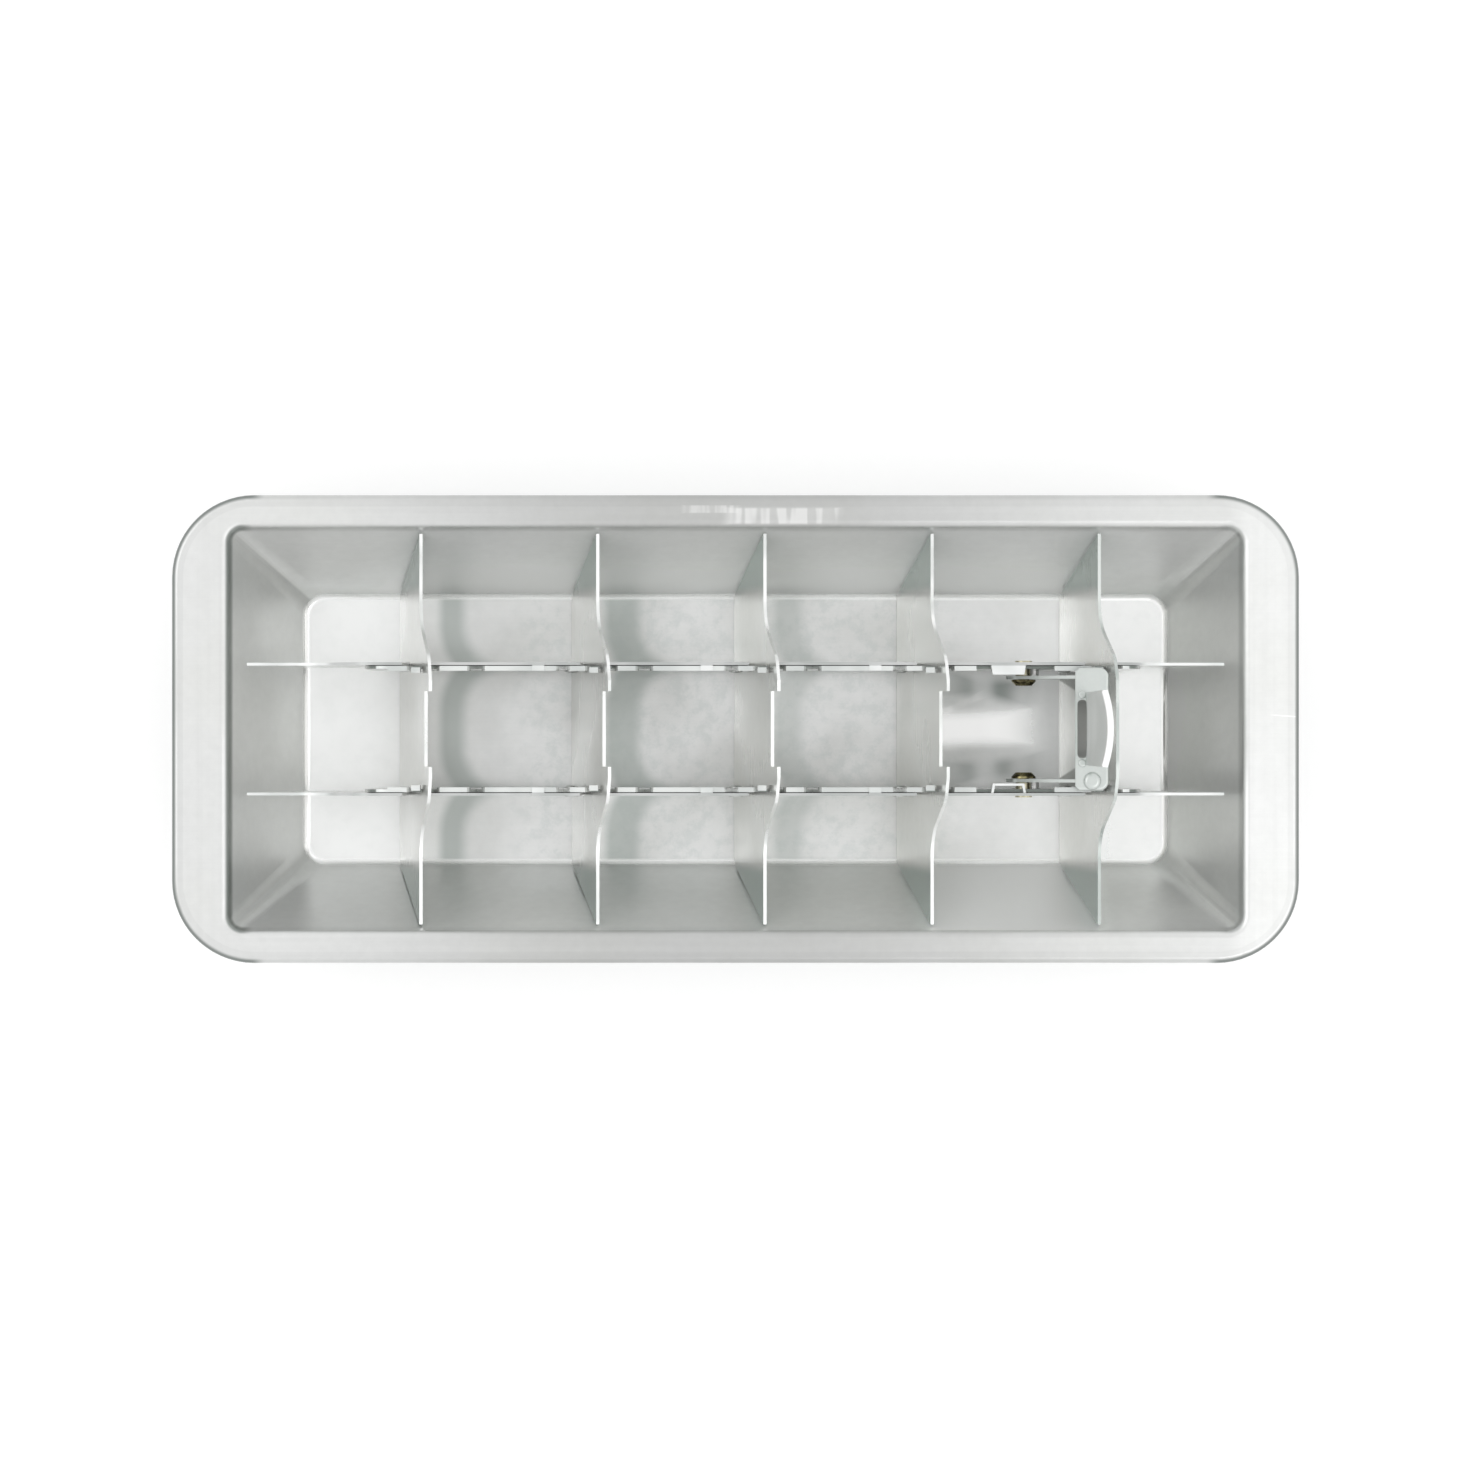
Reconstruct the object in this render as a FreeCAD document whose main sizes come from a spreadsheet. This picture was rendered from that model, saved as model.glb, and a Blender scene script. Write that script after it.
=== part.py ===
"""Lever ice cube tray: a pressed pan with a lift-out grid of leaning dividers.

Units are millimetres. X runs along the tray with the lever near its +X end, Y runs
across it and Z points up. The origin is the centre of the pan's underside.
"""
import FreeCAD, Part
import math
import os
import re

import Sketcher

from FreeCAD import Placement, Rotation, Vector

doc = FreeCAD.newDocument("LeverIceTray")

# ---------------------------------------------------------------- driving dimensions

SIZES = [
    # the pan
    ("pan_length", 280.0, "over the rolled rim, along X"),
    ("pan_width", 116.3, "over the rolled rim, along Y"),
    ("pan_height", 38.0, "underside to the top of the flange"),
    ("pan_sheet", 0.9, "thickness of the pan's sheet"),
    ("flange_end", 13.6, "rim beyond the opening at each end"),
    ("flange_side", 7.65, "rim beyond the opening at each side"),
    ("wall_flare", 16.1, "how far each wall leans out from the floor to the flange"),
    ("floor_corner", 5.5, "corner radius of the floor"),
    ("opening_corner", 4.0, "corner radius of the opening"),
    ("rim_corner", 20.5, "corner radius of the flange"),
    ("floor_round", 2.4, "inside round between floor and walls"),
    ("mouth_round", 2.0, "rounding between the walls and the flange"),
    ("bead_size", 3.4, "diameter of the rolled edge"),
    ("bead_round", 1.5, "rounding of the rolled edge"),
    # the two layers of long sheets
    ("seat_gap", 0.3, "gap between the long plates and the floor"),
    ("slide_inner", 14.9, "inner face of a slide plate, from the middle"),
    ("slide_sheet", 0.7, "thickness of a slide plate"),
    ("sheet_gap", 0.2, "gap between a slide plate and its long plate"),
    ("plate_sheet", 0.7, "thickness of a long plate"),
    ("plate_rise", 6.0, "top of the long plates above the flange"),
    ("plate_end_drop", 3.0, "ends of the long plates below the flange"),
    ("plate_end_gap", 3.5, "gap between a long plate and the end wall"),
    ("end_run", 15.6, "level stretch at each end of a long plate"),
    ("ramp_run", 14.0, "length of the ramp behind that stretch"),
    ("ramp_round", 8.0, "rounding of the ramp"),
    ("slide_lead", 10.3, "slide plate before the first hinge axis"),
    ("slide_tail", 13.4, "slide plate beyond the last hinge axis"),
    ("slide_foot", 8.0, "bottom edge of the slide plates"),
    ("slide_drop", 0.3, "top of the slide plates below the long plates' top"),
    ("slide_corner", 6.0, "corner radius of the slide plates"),
    ("hem_reach", 0.5, "how far the slide plate's hemmed top stands in"),
    ("hem_high", 1.2, "height of that hem"),
    # the dividers
    ("pivot_height", 19.5, "hinge axis of the dividers above the underside"),
    ("start_cell", 28.6, "from the floor's end to the first hinge axis"),
    ("end_cell", 23.2, "from the last hinge axis to the floor's end"),
    ("first_extra", 2.4, "how much longer the first pitch is than the others"),
    ("divider_sheet", 0.8, "thickness of a divider"),
    ("divider_tilt", 12.5, "lean of the dividers at rest, in degrees"),
    ("throat_gap", 0.3, "clearance around a divider in its notch"),
    ("slot_gap", 0.35, "clearance around both plates in a divider's slot"),
    ("wall_gap", 0.6, "clearance between a divider and the side walls"),
    ("floor_gap", 1.0, "clearance between a divider and the floor"),
    ("wing_drop", 3.0, "divider's wings below the flange"),
    ("crown_lift", 6.0, "divider's crown above the long plates"),
    ("shoulder_drop", 2.0, "divider's shoulders below its crown"),
    ("saddle_drop", 7.0, "bottom of the lever notch below the crown"),
    ("wing_set", 10.1, "inner end of a wing, outside the long plate"),
    ("shoulder_set", 1.0, "divider's shoulder, outside the long plate"),
    ("crown_set", 2.9, "end of the level crown, inside the slide plate"),
    ("wing_round", 10.0, "rounding between wing and shoulder"),
    ("shoulder_round", 6.0, "rounding of the shoulder"),
    ("foot_round", 3.6, "rounding of a divider's bottom corners"),
    ("handle_gap", 0.4, "clearance beside the folded handle in the notches"),
    # the lever
    ("lever_sheet", 0.8, "thickness of the lever's sheet"),
    ("lever_set", 15.3, "lever's hinge axis before the last divider's"),
    ("lever_drop", 11.0, "lever's hinge axis below the long plates' top"),
    ("lever_range", 88.0, "how far the lever folds down, in degrees"),
    ("arm_clear", 1.7, "gap between a lever arm and its slide plate"),
    ("arm_boss", 4.4, "radius of the round end of a lever arm"),
    ("arm_inset", 0.5, "arm inside the left edge of the bridge"),
    ("arm_heel", 4.0, "straight heel of an arm below the bridge"),
    ("heel_inset", 1.8, "arm inside the right edge of the bridge"),
    ("fold_gap", 0.8, "folded bridge above the long plates"),
    ("bridge_lift", 3.4, "underside of the bridge above the long plates"),
    ("bridge_sheet", 0.9, "thickness of the shoulder bridge"),
    ("bridge_depth", 8.3, "size of the bridge along X"),
    ("bridge_reach", 2.0, "bridge beyond the outer faces of the arms"),
    ("bridge_chamfer", 1.2, "cut corners on the bridge's left side"),
    ("bridge_round", 2.4, "round corners on the bridge's right side"),
    ("bridge_roll", 0.75, "how far the bridge's right edge rolls down"),
    ("window_set", 0.5, "from the bridge's left edge to its slot"),
    ("window_width", 2.4, "width of the slot in the bridge"),
    ("window_length", 14.5, "length of the slot in the bridge"),
    ("dome_radius", 2.2, "radius of the pressed dome on the front shoulder"),
    ("dome_high", 1.2, "height of that dome"),
    ("dimple_radius", 1.0, "radius of the bumps beside the slot"),
    ("dimple_high", 0.5, "height of those bumps"),
    ("handle_half", 8.9, "half width of the handle"),
    ("foot_bow", 0.4, "how far the handle bows out at the bridge"),
    ("handle_bow", 1.4, "how far the handle bows out at its top"),
    ("handle_lean", 0.4, "how far the handle leans back towards its top"),
    ("handle_length", 70.7, "height of the handle above the bridge"),
    ("lip_radius", 0.8, "radius of the curled lip on the handle"),
    # rivets and pins
    ("rivet_shank", 1.4, "radius of a lever rivet's shank"),
    ("rivet_collar", 2.0, "radius of a lever rivet's collar"),
    ("rivet_head", 3.0, "radius of a lever rivet's head"),
    ("rivet_crown", 2.0, "radius of the flat ring on that head"),
    ("rivet_cup", 1.3, "radius of the hollow in that head"),
    ("rivet_head_high", 1.5, "height of that head"),
    ("rivet_bevel", 1.0, "height of the bevel around that head"),
    ("rivet_cup_deep", 0.9, "depth of the hollow in that head"),
    ("rivet_tail", 2.1, "radius of the flattened tail"),
    ("rivet_tail_high", 0.5, "height of the flattened tail"),
    ("running_gap", 0.08, "radial clearance of the lever on its rivets"),
    ("face_gap", 0.1, "gap between sliding faces and the rivets"),
    ("crank_radius", 3.6, "from the lever's hinge axis to a drive pin"),
    ("pin_radius", 1.1, "radius of a drive pin"),
    ("pin_gap", 0.35, "clearance around a drive pin in the slide plate"),
    ("collar_gap", 0.3, "clearance around a rivet's collar in the slide plate"),
    ("guide_height", 14.5, "guide rivets above the underside"),
    ("guide_set", 3.8, "guide rivets before a hinge axis"),
    ("guide_shank", 1.0, "radius of a guide rivet"),
    ("guide_head", 1.8, "radius of a guide rivet's heads"),
    ("guide_crown", 1.2, "radius of the flat on its inner head"),
    ("guide_head_high", 0.5, "height of its heads"),
    ("guide_bevel", 0.3, "height of the bevel around its inner head"),
    # formed hats, tabs and steps
    ("hat_set", 8.7, "left side of the hats before the lever's hinge axis"),
    ("hat_length", 8.6, "length of the hats"),
    ("hat_depth", 3.6, "hats below the top of the long plates"),
    ("hat_rise", 0.6, "hats above the top of the long plates"),
    ("hat_slant", 0.4, "how much the hats draw in on each side"),
    ("hat_sheet", 0.55, "thickness of the hats' sheet"),
    ("hat_gap", 0.25, "gap between a hat and the lever arm"),
    ("bay_left", 3.6, "free length before the hats in the slide plate"),
    ("bay_right", 2.1, "free length behind the hats at the end of the travel"),
    ("bay_depth", 0.4, "gap below the hats"),
    ("tab_start", 12.5, "hold-down tab, before the next divider"),
    ("tab_length", 3.0, "length of a hold-down tab"),
    ("tab_reach", 0.5, "hold-down tab beyond the slide plate's inner face"),
    ("tab_gap", 0.2, "gap between a hold-down tab and the slide plate"),
    ("drive_tab_length", 2.2, "length of a drive tab"),
    ("drive_tab_reach", 1.0, "how far a drive tab reaches in"),
    ("drive_tab_drop", 0.5, "drive tabs below the top of the slide plate"),
    ("drive_tab_high", 3.6, "height of a drive tab"),
    ("long_step", 28.6, "first notch in the slide's top, before the next hinge axis"),
    ("long_step_length", 4.4, "length of the first notch"),
    ("short_step", 6.6, "second notch in the slide's top, before the next axis"),
    ("short_step_length", 3.4, "length of the second notch"),
    ("step_depth", 3.0, "depth of both notches"),
    ("relief_start", 0.5, "relief around a divider, after its hinge axis"),
    ("relief_length", 8.1, "length of that relief"),
    ("relief_depth", 2.2, "depth of that relief"),
    ("relief_slant", 1.4, "how much the relief draws in on each side"),
]

sheet = doc.addObject("Spreadsheet::Sheet", "Sizes")
for row, (alias, number, note) in enumerate(SIZES, start=1):
    sheet.set(f"A{row}", str(number))
    sheet.setAlias(f"A{row}", alias)
    sheet.set(f"B{row}", note)
doc.recompute()


def bound(formula):
    """Return the formula with each size's name pointing at the sheet."""
    return re.sub(r"\b([a-z]+(?:_[a-z]+)+)\b", r"Sizes.\1", formula)


def value(formula):
    """Return the number that a formula of sizes gives."""
    result = sheet.evalExpression(bound(formula))
    return float(getattr(result, "Value", result))


# Formulas that several pieces share.
DIVIDERS = 5
SIDES = (("front", -1), ("back", 1))
MARGIN = "2"  # how far a cutting outline runs past the edge that it opens
SLOPE = "(wall_flare / (pan_height - pan_sheet))"
FLOOR_LENGTH = "(pan_length - 2 * (flange_end + wall_flare))"
FLOOR_WIDTH = "(pan_width - 2 * (flange_side + wall_flare))"
PITCH = f"(({FLOOR_LENGTH} - start_cell - end_cell - first_extra) / {DIVIDERS - 1})"
FIRST_PIVOT = f"(start_cell - {FLOOR_LENGTH} / 2)"
PIVOTS = [FIRST_PIVOT] + [f"({FIRST_PIVOT} + first_extra + {n} * {PITCH})" for n in range(1, DIVIDERS)]
GUIDES = [f"({pivot} - guide_set)" for pivot in PIVOTS[1:]]
LEAN = "tan(divider_tilt)"
THROAT = "(divider_sheet / 2 + throat_gap)"
FIXED_INNER = "(slide_inner + slide_sheet + sheet_gap)"
FIXED_OUTER = f"({FIXED_INNER} + plate_sheet)"
PLATE_TOP = "(pan_height + plate_rise)"
SLIDE_TOP = f"({PLATE_TOP} - slide_drop)"
LEVER_X = f"({PIVOTS[-1]} - lever_set)"
LEVER_Z = f"({PLATE_TOP} - lever_drop)"
TRAVEL = "(2 * crank_radius * sin(lever_range / 2))"
PIN_X = f"({LEVER_X} + {TRAVEL} / 2)"
PIN_Z = f"({LEVER_Z} + crank_radius * cos(lever_range / 2))"
ARM_OUTER = "(slide_inner - arm_clear)"
ARM_INNER = f"({ARM_OUTER} - lever_sheet)"
BRIDGE_LEFT = f"({LEVER_X} + lever_drop + fold_gap)"
BRIDGE_RIGHT = f"({BRIDGE_LEFT} + bridge_depth)"
BRIDGE_BOTTOM = f"({PLATE_TOP} + bridge_lift)"
BRIDGE_MIDDLE = f"({BRIDGE_BOTTOM} + bridge_sheet / 2)"
BRIDGE_TOP = f"({BRIDGE_BOTTOM} + bridge_sheet)"
HAT_LEFT = f"({LEVER_X} - hat_set)"
HAT_RIGHT = f"({HAT_LEFT} + hat_length)"
HAT_BOTTOM = f"({PLATE_TOP} - hat_depth)"


# ---------------------------------------------------------------------- small helpers

def new_body(label):
    """Start a PartDesign body whose label is its node name."""
    body = doc.addObject("PartDesign::Body", label)
    body.Label = label
    return body


def new_sketch(body, name, plane, offset="0"):
    """Attach a sketch to one of the body's own origin planes."""
    sketch = body.newObject("Sketcher::SketchObject", f"{body.Name}_{name}")
    planes = [item for item in body.Origin.OriginFeatures if item.Role == f"{plane}_Plane"]
    sketch.AttachmentSupport = (planes[0], [""])
    sketch.MapMode = "FlatFace"
    sketch.setExpression("AttachmentOffset.Base.z", bound(offset))
    return sketch


def fix(sketch, kind, formula, *place):
    """Add one dimension to a sketch and bind it to a formula."""
    index = sketch.addConstraint(Sketcher.Constraint(kind, *place, value(formula)))
    sketch.setExpression(f"Constraints[{index}]", bound(formula))


def place_point(sketch, across, along, *point):
    """Bind a point of a sketch to a place given by two formulas."""
    fix(sketch, "DistanceX", across, -1, 1, *point)
    fix(sketch, "DistanceY", along, -1, 1, *point)


def polygon(sketch, corners):
    """Draw a closed outline whose corners are pairs of formulas."""
    points = [Vector(value(across), value(along), 0) for across, along in corners]
    first = sketch.GeometryCount
    for start, end in zip(points, points[1:] + points[:1]):
        sketch.addGeometry(Part.LineSegment(start, end), False)
    for index, (across, along) in enumerate(corners):
        before = first + (index - 1) % len(corners)
        sketch.addConstraint(Sketcher.Constraint("Coincident", before, 2, first + index, 1))
        place_point(sketch, across, along, first + index, 1)


def circle(sketch, across, along, radius):
    """Draw a circle whose centre and radius are formulas."""
    centre = Vector(value(across), value(along), 0)
    ring = Part.Circle(centre, Vector(0, 0, 1), value(radius))
    index = sketch.addGeometry(ring, False)
    place_point(sketch, across, along, index, 3)
    fix(sketch, "Radius", radius, index)


def box_corners(left, right, bottom, top):
    """Return the corners of an upright rectangle."""
    return [(left, bottom), (right, bottom), (right, top), (left, top)]


def rounded_rectangle(sketch, left, right, bottom, top, radius):
    """Draw a rectangle with four equal round corners."""
    low_x, high_x, low_y, high_y = (value(side) for side in (left, right, bottom, top))
    turn = value(radius)
    centres = [
        (high_x - turn, high_y - turn),
        (low_x + turn, high_y - turn),
        (low_x + turn, low_y + turn),
        (high_x - turn, low_y + turn),
    ]
    first = sketch.GeometryCount
    arcs = []
    for quarter, (x, y) in enumerate(centres):
        ring = Part.Circle(Vector(x, y, 0), Vector(0, 0, 1), turn)
        arcs.append(Part.ArcOfCircle(ring, quarter * math.pi / 2, (quarter + 1) * math.pi / 2))
        sketch.addGeometry(arcs[-1], False)
    for arc, following in zip(arcs, arcs[1:] + arcs[:1]):
        sketch.addGeometry(Part.LineSegment(arc.EndPoint, following.StartPoint), False)
    for quarter in range(4):
        arc = first + quarter
        line = first + 4 + quarter
        following = first + (quarter + 1) % 4
        sketch.addConstraint(Sketcher.Constraint("Tangent", arc, 2, line, 1))
        sketch.addConstraint(Sketcher.Constraint("Tangent", line, 2, following, 1))
        if quarter:
            sketch.addConstraint(Sketcher.Constraint("Equal", first, arc))
    sketch.addConstraint(Sketcher.Constraint("Horizontal", first + 4))
    sketch.addConstraint(Sketcher.Constraint("Vertical", first + 5))
    fix(sketch, "DistanceY", top, -1, 1, first + 4, 1)
    fix(sketch, "DistanceX", left, -1, 1, first + 5, 1)
    fix(sketch, "DistanceY", bottom, -1, 1, first + 6, 1)
    fix(sketch, "DistanceX", right, -1, 1, first + 7, 1)
    fix(sketch, "Radius", radius, first)


def bowed_strip(sketch, crest, bow, half_width, thickness):
    """Draw the section of a strip that bows out to +X; its ends are square to Y.

    Return the formulas of the centre and radius of its outer face.
    """
    radius = f"(({half_width} * {half_width} + {bow} * {bow}) / (2 * {bow}))"
    centre_x = f"({crest} - {radius})"
    centre = Vector(value(centre_x), 0, 0)
    half = value(half_width)
    sizes = [value(radius), value(radius) - value(thickness)]
    for size in sizes:
        span = math.asin(half / size)
        ring = Part.Circle(centre, Vector(0, 0, 1), size)
        sketch.addGeometry(Part.ArcOfCircle(ring, -span, span), False)
    for side in (-1, 1):
        ends = [Vector(centre.x + math.sqrt(size ** 2 - half ** 2), side * half, 0) for size in sizes]
        sketch.addGeometry(Part.LineSegment(*ends), False)
    for line, corner in ((2, 1), (3, 2)):
        sketch.addConstraint(Sketcher.Constraint("Coincident", 0, corner, line, 1))
        sketch.addConstraint(Sketcher.Constraint("Coincident", 1, corner, line, 2))
        sketch.addConstraint(Sketcher.Constraint("Horizontal", line))
    sketch.addConstraint(Sketcher.Constraint("Coincident", 0, 3, 1, 3))
    place_point(sketch, centre_x, "0", 0, 3)
    fix(sketch, "Radius", radius, 0)
    fix(sketch, "Radius", f"{radius} - {thickness}", 1)
    fix(sketch, "DistanceY", f"-{half_width}", -1, 1, 0, 1)
    fix(sketch, "DistanceY", half_width, -1, 1, 0, 2)
    return centre_x, radius


def pad(sketch, name, length, flip=False):
    """Add material from a sketch along its normal, or against it."""
    body = sketch.getParentGeoFeatureGroup()
    feature = body.newObject("PartDesign::Pad", f"{body.Name}_{name}")
    feature.Profile = sketch
    feature.Reversed = flip
    feature.setExpression("Length", bound(length))
    doc.recompute()
    return feature


def pocket(sketch, name, length):
    """Cut a sketch out of its body, half to each side, and check that it cut."""
    body = sketch.getParentGeoFeatureGroup()
    before = body.Tip.Shape.Volume
    feature = body.newObject("PartDesign::Pocket", f"{body.Name}_{name}")
    feature.Profile = sketch
    feature.Midplane = True
    feature.setExpression("Length", bound(length))
    doc.recompute()
    if feature.Shape.Volume >= before:
        raise ValueError(f"{feature.Name} removed nothing")
    return feature


def stands_at(places, axis, reach=0.05):
    """Return a test for straight edges along an axis that pass one of the places."""
    others = [name for name in "xyz" if name != axis]
    spots = [tuple(value(part) for part in place) for place in places]

    def accept(edge):
        box = edge.BoundBox
        spans = {"x": box.XLength, "y": box.YLength, "z": box.ZLength}
        centre = {"x": box.Center.x, "y": box.Center.y, "z": box.Center.z}
        if spans[axis] < reach or any(spans[name] > reach for name in others):
            return False
        return any(math.dist([centre[name] for name in others], spot) < reach for spot in spots)

    return accept


def lies_at(height, half_x, half_y, corner, reach=0.02):
    """Return a test for level edges on a rounded rectangle about the middle."""
    level, far_x, far_y, turn = (value(part) for part in (height, half_x, half_y, corner))

    def accept(edge):
        box = edge.BoundBox
        if box.ZLength > reach or abs(box.ZMin - level) > reach:
            return False
        middle = edge.valueAt((edge.FirstParameter + edge.LastParameter) / 2)
        past_x = abs(middle.x) - (far_x - turn)
        past_y = abs(middle.y) - (far_y - turn)
        if past_x > 0 and past_y > 0:
            return abs(math.hypot(past_x, past_y) - turn) < reach
        return min(abs(past_x - turn), abs(past_y - turn)) < reach

    return accept


def right_edge(height, from_x, reach=0.02):
    """Return a test for level edges that lie wholly beyond a place along X."""
    level, first_x = value(height), value(from_x)

    def accept(edge):
        box = edge.BoundBox
        return box.ZLength < reach and abs(box.ZMin - level) < reach and box.XMin > first_x - reach

    return accept


def fillet(body, name, radius, accept):
    """Round the edges that the test accepts."""
    base = body.Tip
    numbered = enumerate(base.Shape.Edges, start=1)
    names = [f"Edge{index}" for index, edge in numbered if accept(edge)]
    if not names:
        raise ValueError(f"{body.Name}_{name} found no edges")
    feature = body.newObject("PartDesign::Fillet", f"{body.Name}_{name}")
    feature.Base = (base, names)
    feature.setExpression("Radius", bound(radius))
    doc.recompute()
    return feature


def signed(side, formula):
    """Return the formula, negated on the front side."""
    return formula if side > 0 else f"-({formula})"


def side_sketch(body, name, side, face):
    """Start a sketch seen from the front, on a plane that far from the middle."""
    return new_sketch(body, name, "XZ", signed(-side, face))


def side_pad(sketch, name, length, side):
    """Add material from a side sketch, away from the middle."""
    return pad(sketch, name, length, flip=side > 0)


# --------------------------------------------------------------------------- the pan

def build_pan():
    """Press the pan: sloping walls, flat flange and rolled edge."""
    body = new_body("tray_pan")
    skin = f"(pan_sheet * sqrt(1 + {SLOPE} * {SLOPE}))"
    outer = [
        ("0", f"{skin} - pan_sheet * {SLOPE}", "floor_corner"),
        ("pan_height", f"{skin} + wall_flare", "opening_corner"),
    ]
    inner = [
        ("pan_sheet", "0", "floor_corner"),
        ("pan_height", "wall_flare", "opening_corner"),
    ]

    def outline(sketch, half_x, half_y, corner):
        rounded_rectangle(sketch, f"-({half_x})", half_x, f"-({half_y})", half_y, corner)

    def loft(kind, name, levels):
        sketches = []
        for index, (height, spread, corner) in enumerate(levels):
            sketch = new_sketch(body, f"{name}_{index}", "XY", height)
            outline(sketch, f"{FLOOR_LENGTH} / 2 + {spread}", f"{FLOOR_WIDTH} / 2 + {spread}", corner)
            sketches.append(sketch)
        feature = body.newObject(f"PartDesign::{kind}", f"{body.Name}_{name}")
        feature.Profile = sketches[0]
        feature.Sections = sketches[1:]
        feature.Ruled = True
        doc.recompute()

    def rim(inset):
        return (f"pan_length / 2 - {inset}", f"pan_width / 2 - {inset}", f"rim_corner - {inset}")

    loft("AdditiveLoft", "shell", outer)
    flange = new_sketch(body, "flange", "XY", "pan_height")
    outline(flange, *rim("bead_size / 2"))
    pad(flange, "flange_sheet", "pan_sheet", flip=True)
    bead = new_sketch(body, "bead", "XY", "pan_height")
    outline(bead, *rim("0"))
    outline(bead, *rim("bead_size"))
    pad(bead, "bead_ring", "bead_size", flip=True)
    loft("SubtractiveLoft", "hollow", inner)

    upper = lies_at("pan_height", *rim("0"))
    lower = lies_at("pan_height - bead_size", *rim("0"))
    fillet(body, "bead_roll", "bead_round", lambda edge: upper(edge) or lower(edge))
    mouth = (f"{FLOOR_LENGTH} / 2 + wall_flare", f"{FLOOR_WIDTH} / 2 + wall_flare")
    fillet(body, "mouth_fillet", "mouth_round", lies_at("pan_height", *mouth, "opening_corner"))
    floor = lies_at("pan_sheet", f"{FLOOR_LENGTH} / 2", f"{FLOOR_WIDTH} / 2", "floor_corner")
    fillet(body, "floor_fillet", "floor_round", floor)
    base_spread = outer[0][1]
    base = (f"{FLOOR_LENGTH} / 2 + {base_spread}", f"{FLOOR_WIDTH} / 2 + {base_spread}")
    fillet(body, "base_fillet", "floor_round + pan_sheet", lies_at("0", *base, "floor_corner"))


# ------------------------------------------------------------- long and slide plates

def build_long_plate(name, side):
    """Cut a long plate with V-notches, hold-down tabs and a formed hat."""
    body = new_body(f"long_plate_{name}")
    foot = "(pan_sheet + seat_gap)"
    end_top = "(pan_height - plate_end_drop)"
    low_end = f"({FLOOR_LENGTH} / 2 - plate_end_gap)"
    high_end = f"({low_end} + {SLOPE} * ({end_top} - pan_sheet))"
    ramp_low = f"({high_end} - end_run)"
    ramp_high = f"({ramp_low} - ramp_run)"
    right = [
        (low_end, foot),
        (high_end, end_top),
        (ramp_low, end_top),
        (ramp_high, PLATE_TOP),
    ]
    left = [(f"-{across}", height) for across, height in right]
    blank = side_sketch(body, "outline", side, FIXED_INNER)
    polygon(blank, right + left[::-1])
    side_pad(blank, "blank", "plate_sheet", side)
    fillet(body, "ramps", "ramp_round", stands_at(right[2:] + left[2:], "y"))
    fillet(body, "feet", "floor_round + pan_sheet", stands_at(right[:1] + left[:1], "y"))

    notches = side_sketch(body, "notches", side, FIXED_INNER)
    cut_top = f"({PLATE_TOP} + {MARGIN})"
    throats = side_sketch(body, "throats", side, FIXED_INNER)
    for pivot in PIVOTS:
        leaning = f"{pivot} + {LEAN} * ({cut_top} - pivot_height)"
        polygon(notches, [
            (f"{pivot} - {THROAT}", "pivot_height"),
            (f"{pivot} + {THROAT}", "pivot_height"),
            (f"{leaning} + {THROAT} / cos(divider_tilt)", cut_top),
            (f"{pivot} - {THROAT}", cut_top),
        ])
        circle(throats, pivot, "pivot_height", THROAT)
    pocket(notches, "v_notches", "3 * plate_sheet")
    pocket(throats, "throat_rounds", "3 * plate_sheet")

    tab_face = "(slide_inner - tab_reach)"
    tabs = side_sketch(body, "tabs", side, tab_face)
    tab_floor = f"{SLIDE_TOP} + tab_gap"
    for pivot in PIVOTS[1:-1]:
        start = f"{pivot} - tab_start"
        polygon(tabs, box_corners(start, f"{start} + tab_length", tab_floor, f"{tab_floor} + plate_sheet"))
    side_pad(tabs, "hold_down_tabs", f"{FIXED_OUTER} - {tab_face}", side)

    crown = f"({ARM_OUTER} + hat_gap)"
    root = f"({FIXED_INNER} + plate_sheet / 4)"
    hat = new_sketch(body, "hat", "XY", HAT_BOTTOM)
    outer = [
        (HAT_LEFT, root),
        (f"{HAT_LEFT} + hat_slant", crown),
        (f"{HAT_RIGHT} - hat_slant", crown),
        (HAT_RIGHT, root),
    ]
    inner = [
        (f"{HAT_RIGHT} - hat_sheet", root),
        (f"{HAT_RIGHT} - hat_slant - hat_sheet", f"{crown} + hat_sheet"),
        (f"{HAT_LEFT} + hat_slant + hat_sheet", f"{crown} + hat_sheet"),
        (f"{HAT_LEFT} + hat_sheet", root),
    ]
    polygon(hat, [(across, signed(side, along)) for across, along in outer + inner])
    pad(hat, "formed_hat", "hat_depth + hat_rise")
    if side > 0:
        lid = new_sketch(body, "hat_lid", "XY", f"{PLATE_TOP} + hat_rise")
        polygon(lid, [(across, signed(side, along)) for across, along in outer])
        pad(lid, "hat_lid_sheet", "hat_sheet", flip=True)

    seats = side_sketch(body, "rivet_seats", side, FIXED_INNER)
    circle(seats, LEVER_X, LEVER_Z, "rivet_shank")
    for guide in GUIDES:
        circle(seats, guide, "guide_height", "guide_shank")
    pocket(seats, "rivet_holes", "3 * plate_sheet")


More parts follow.
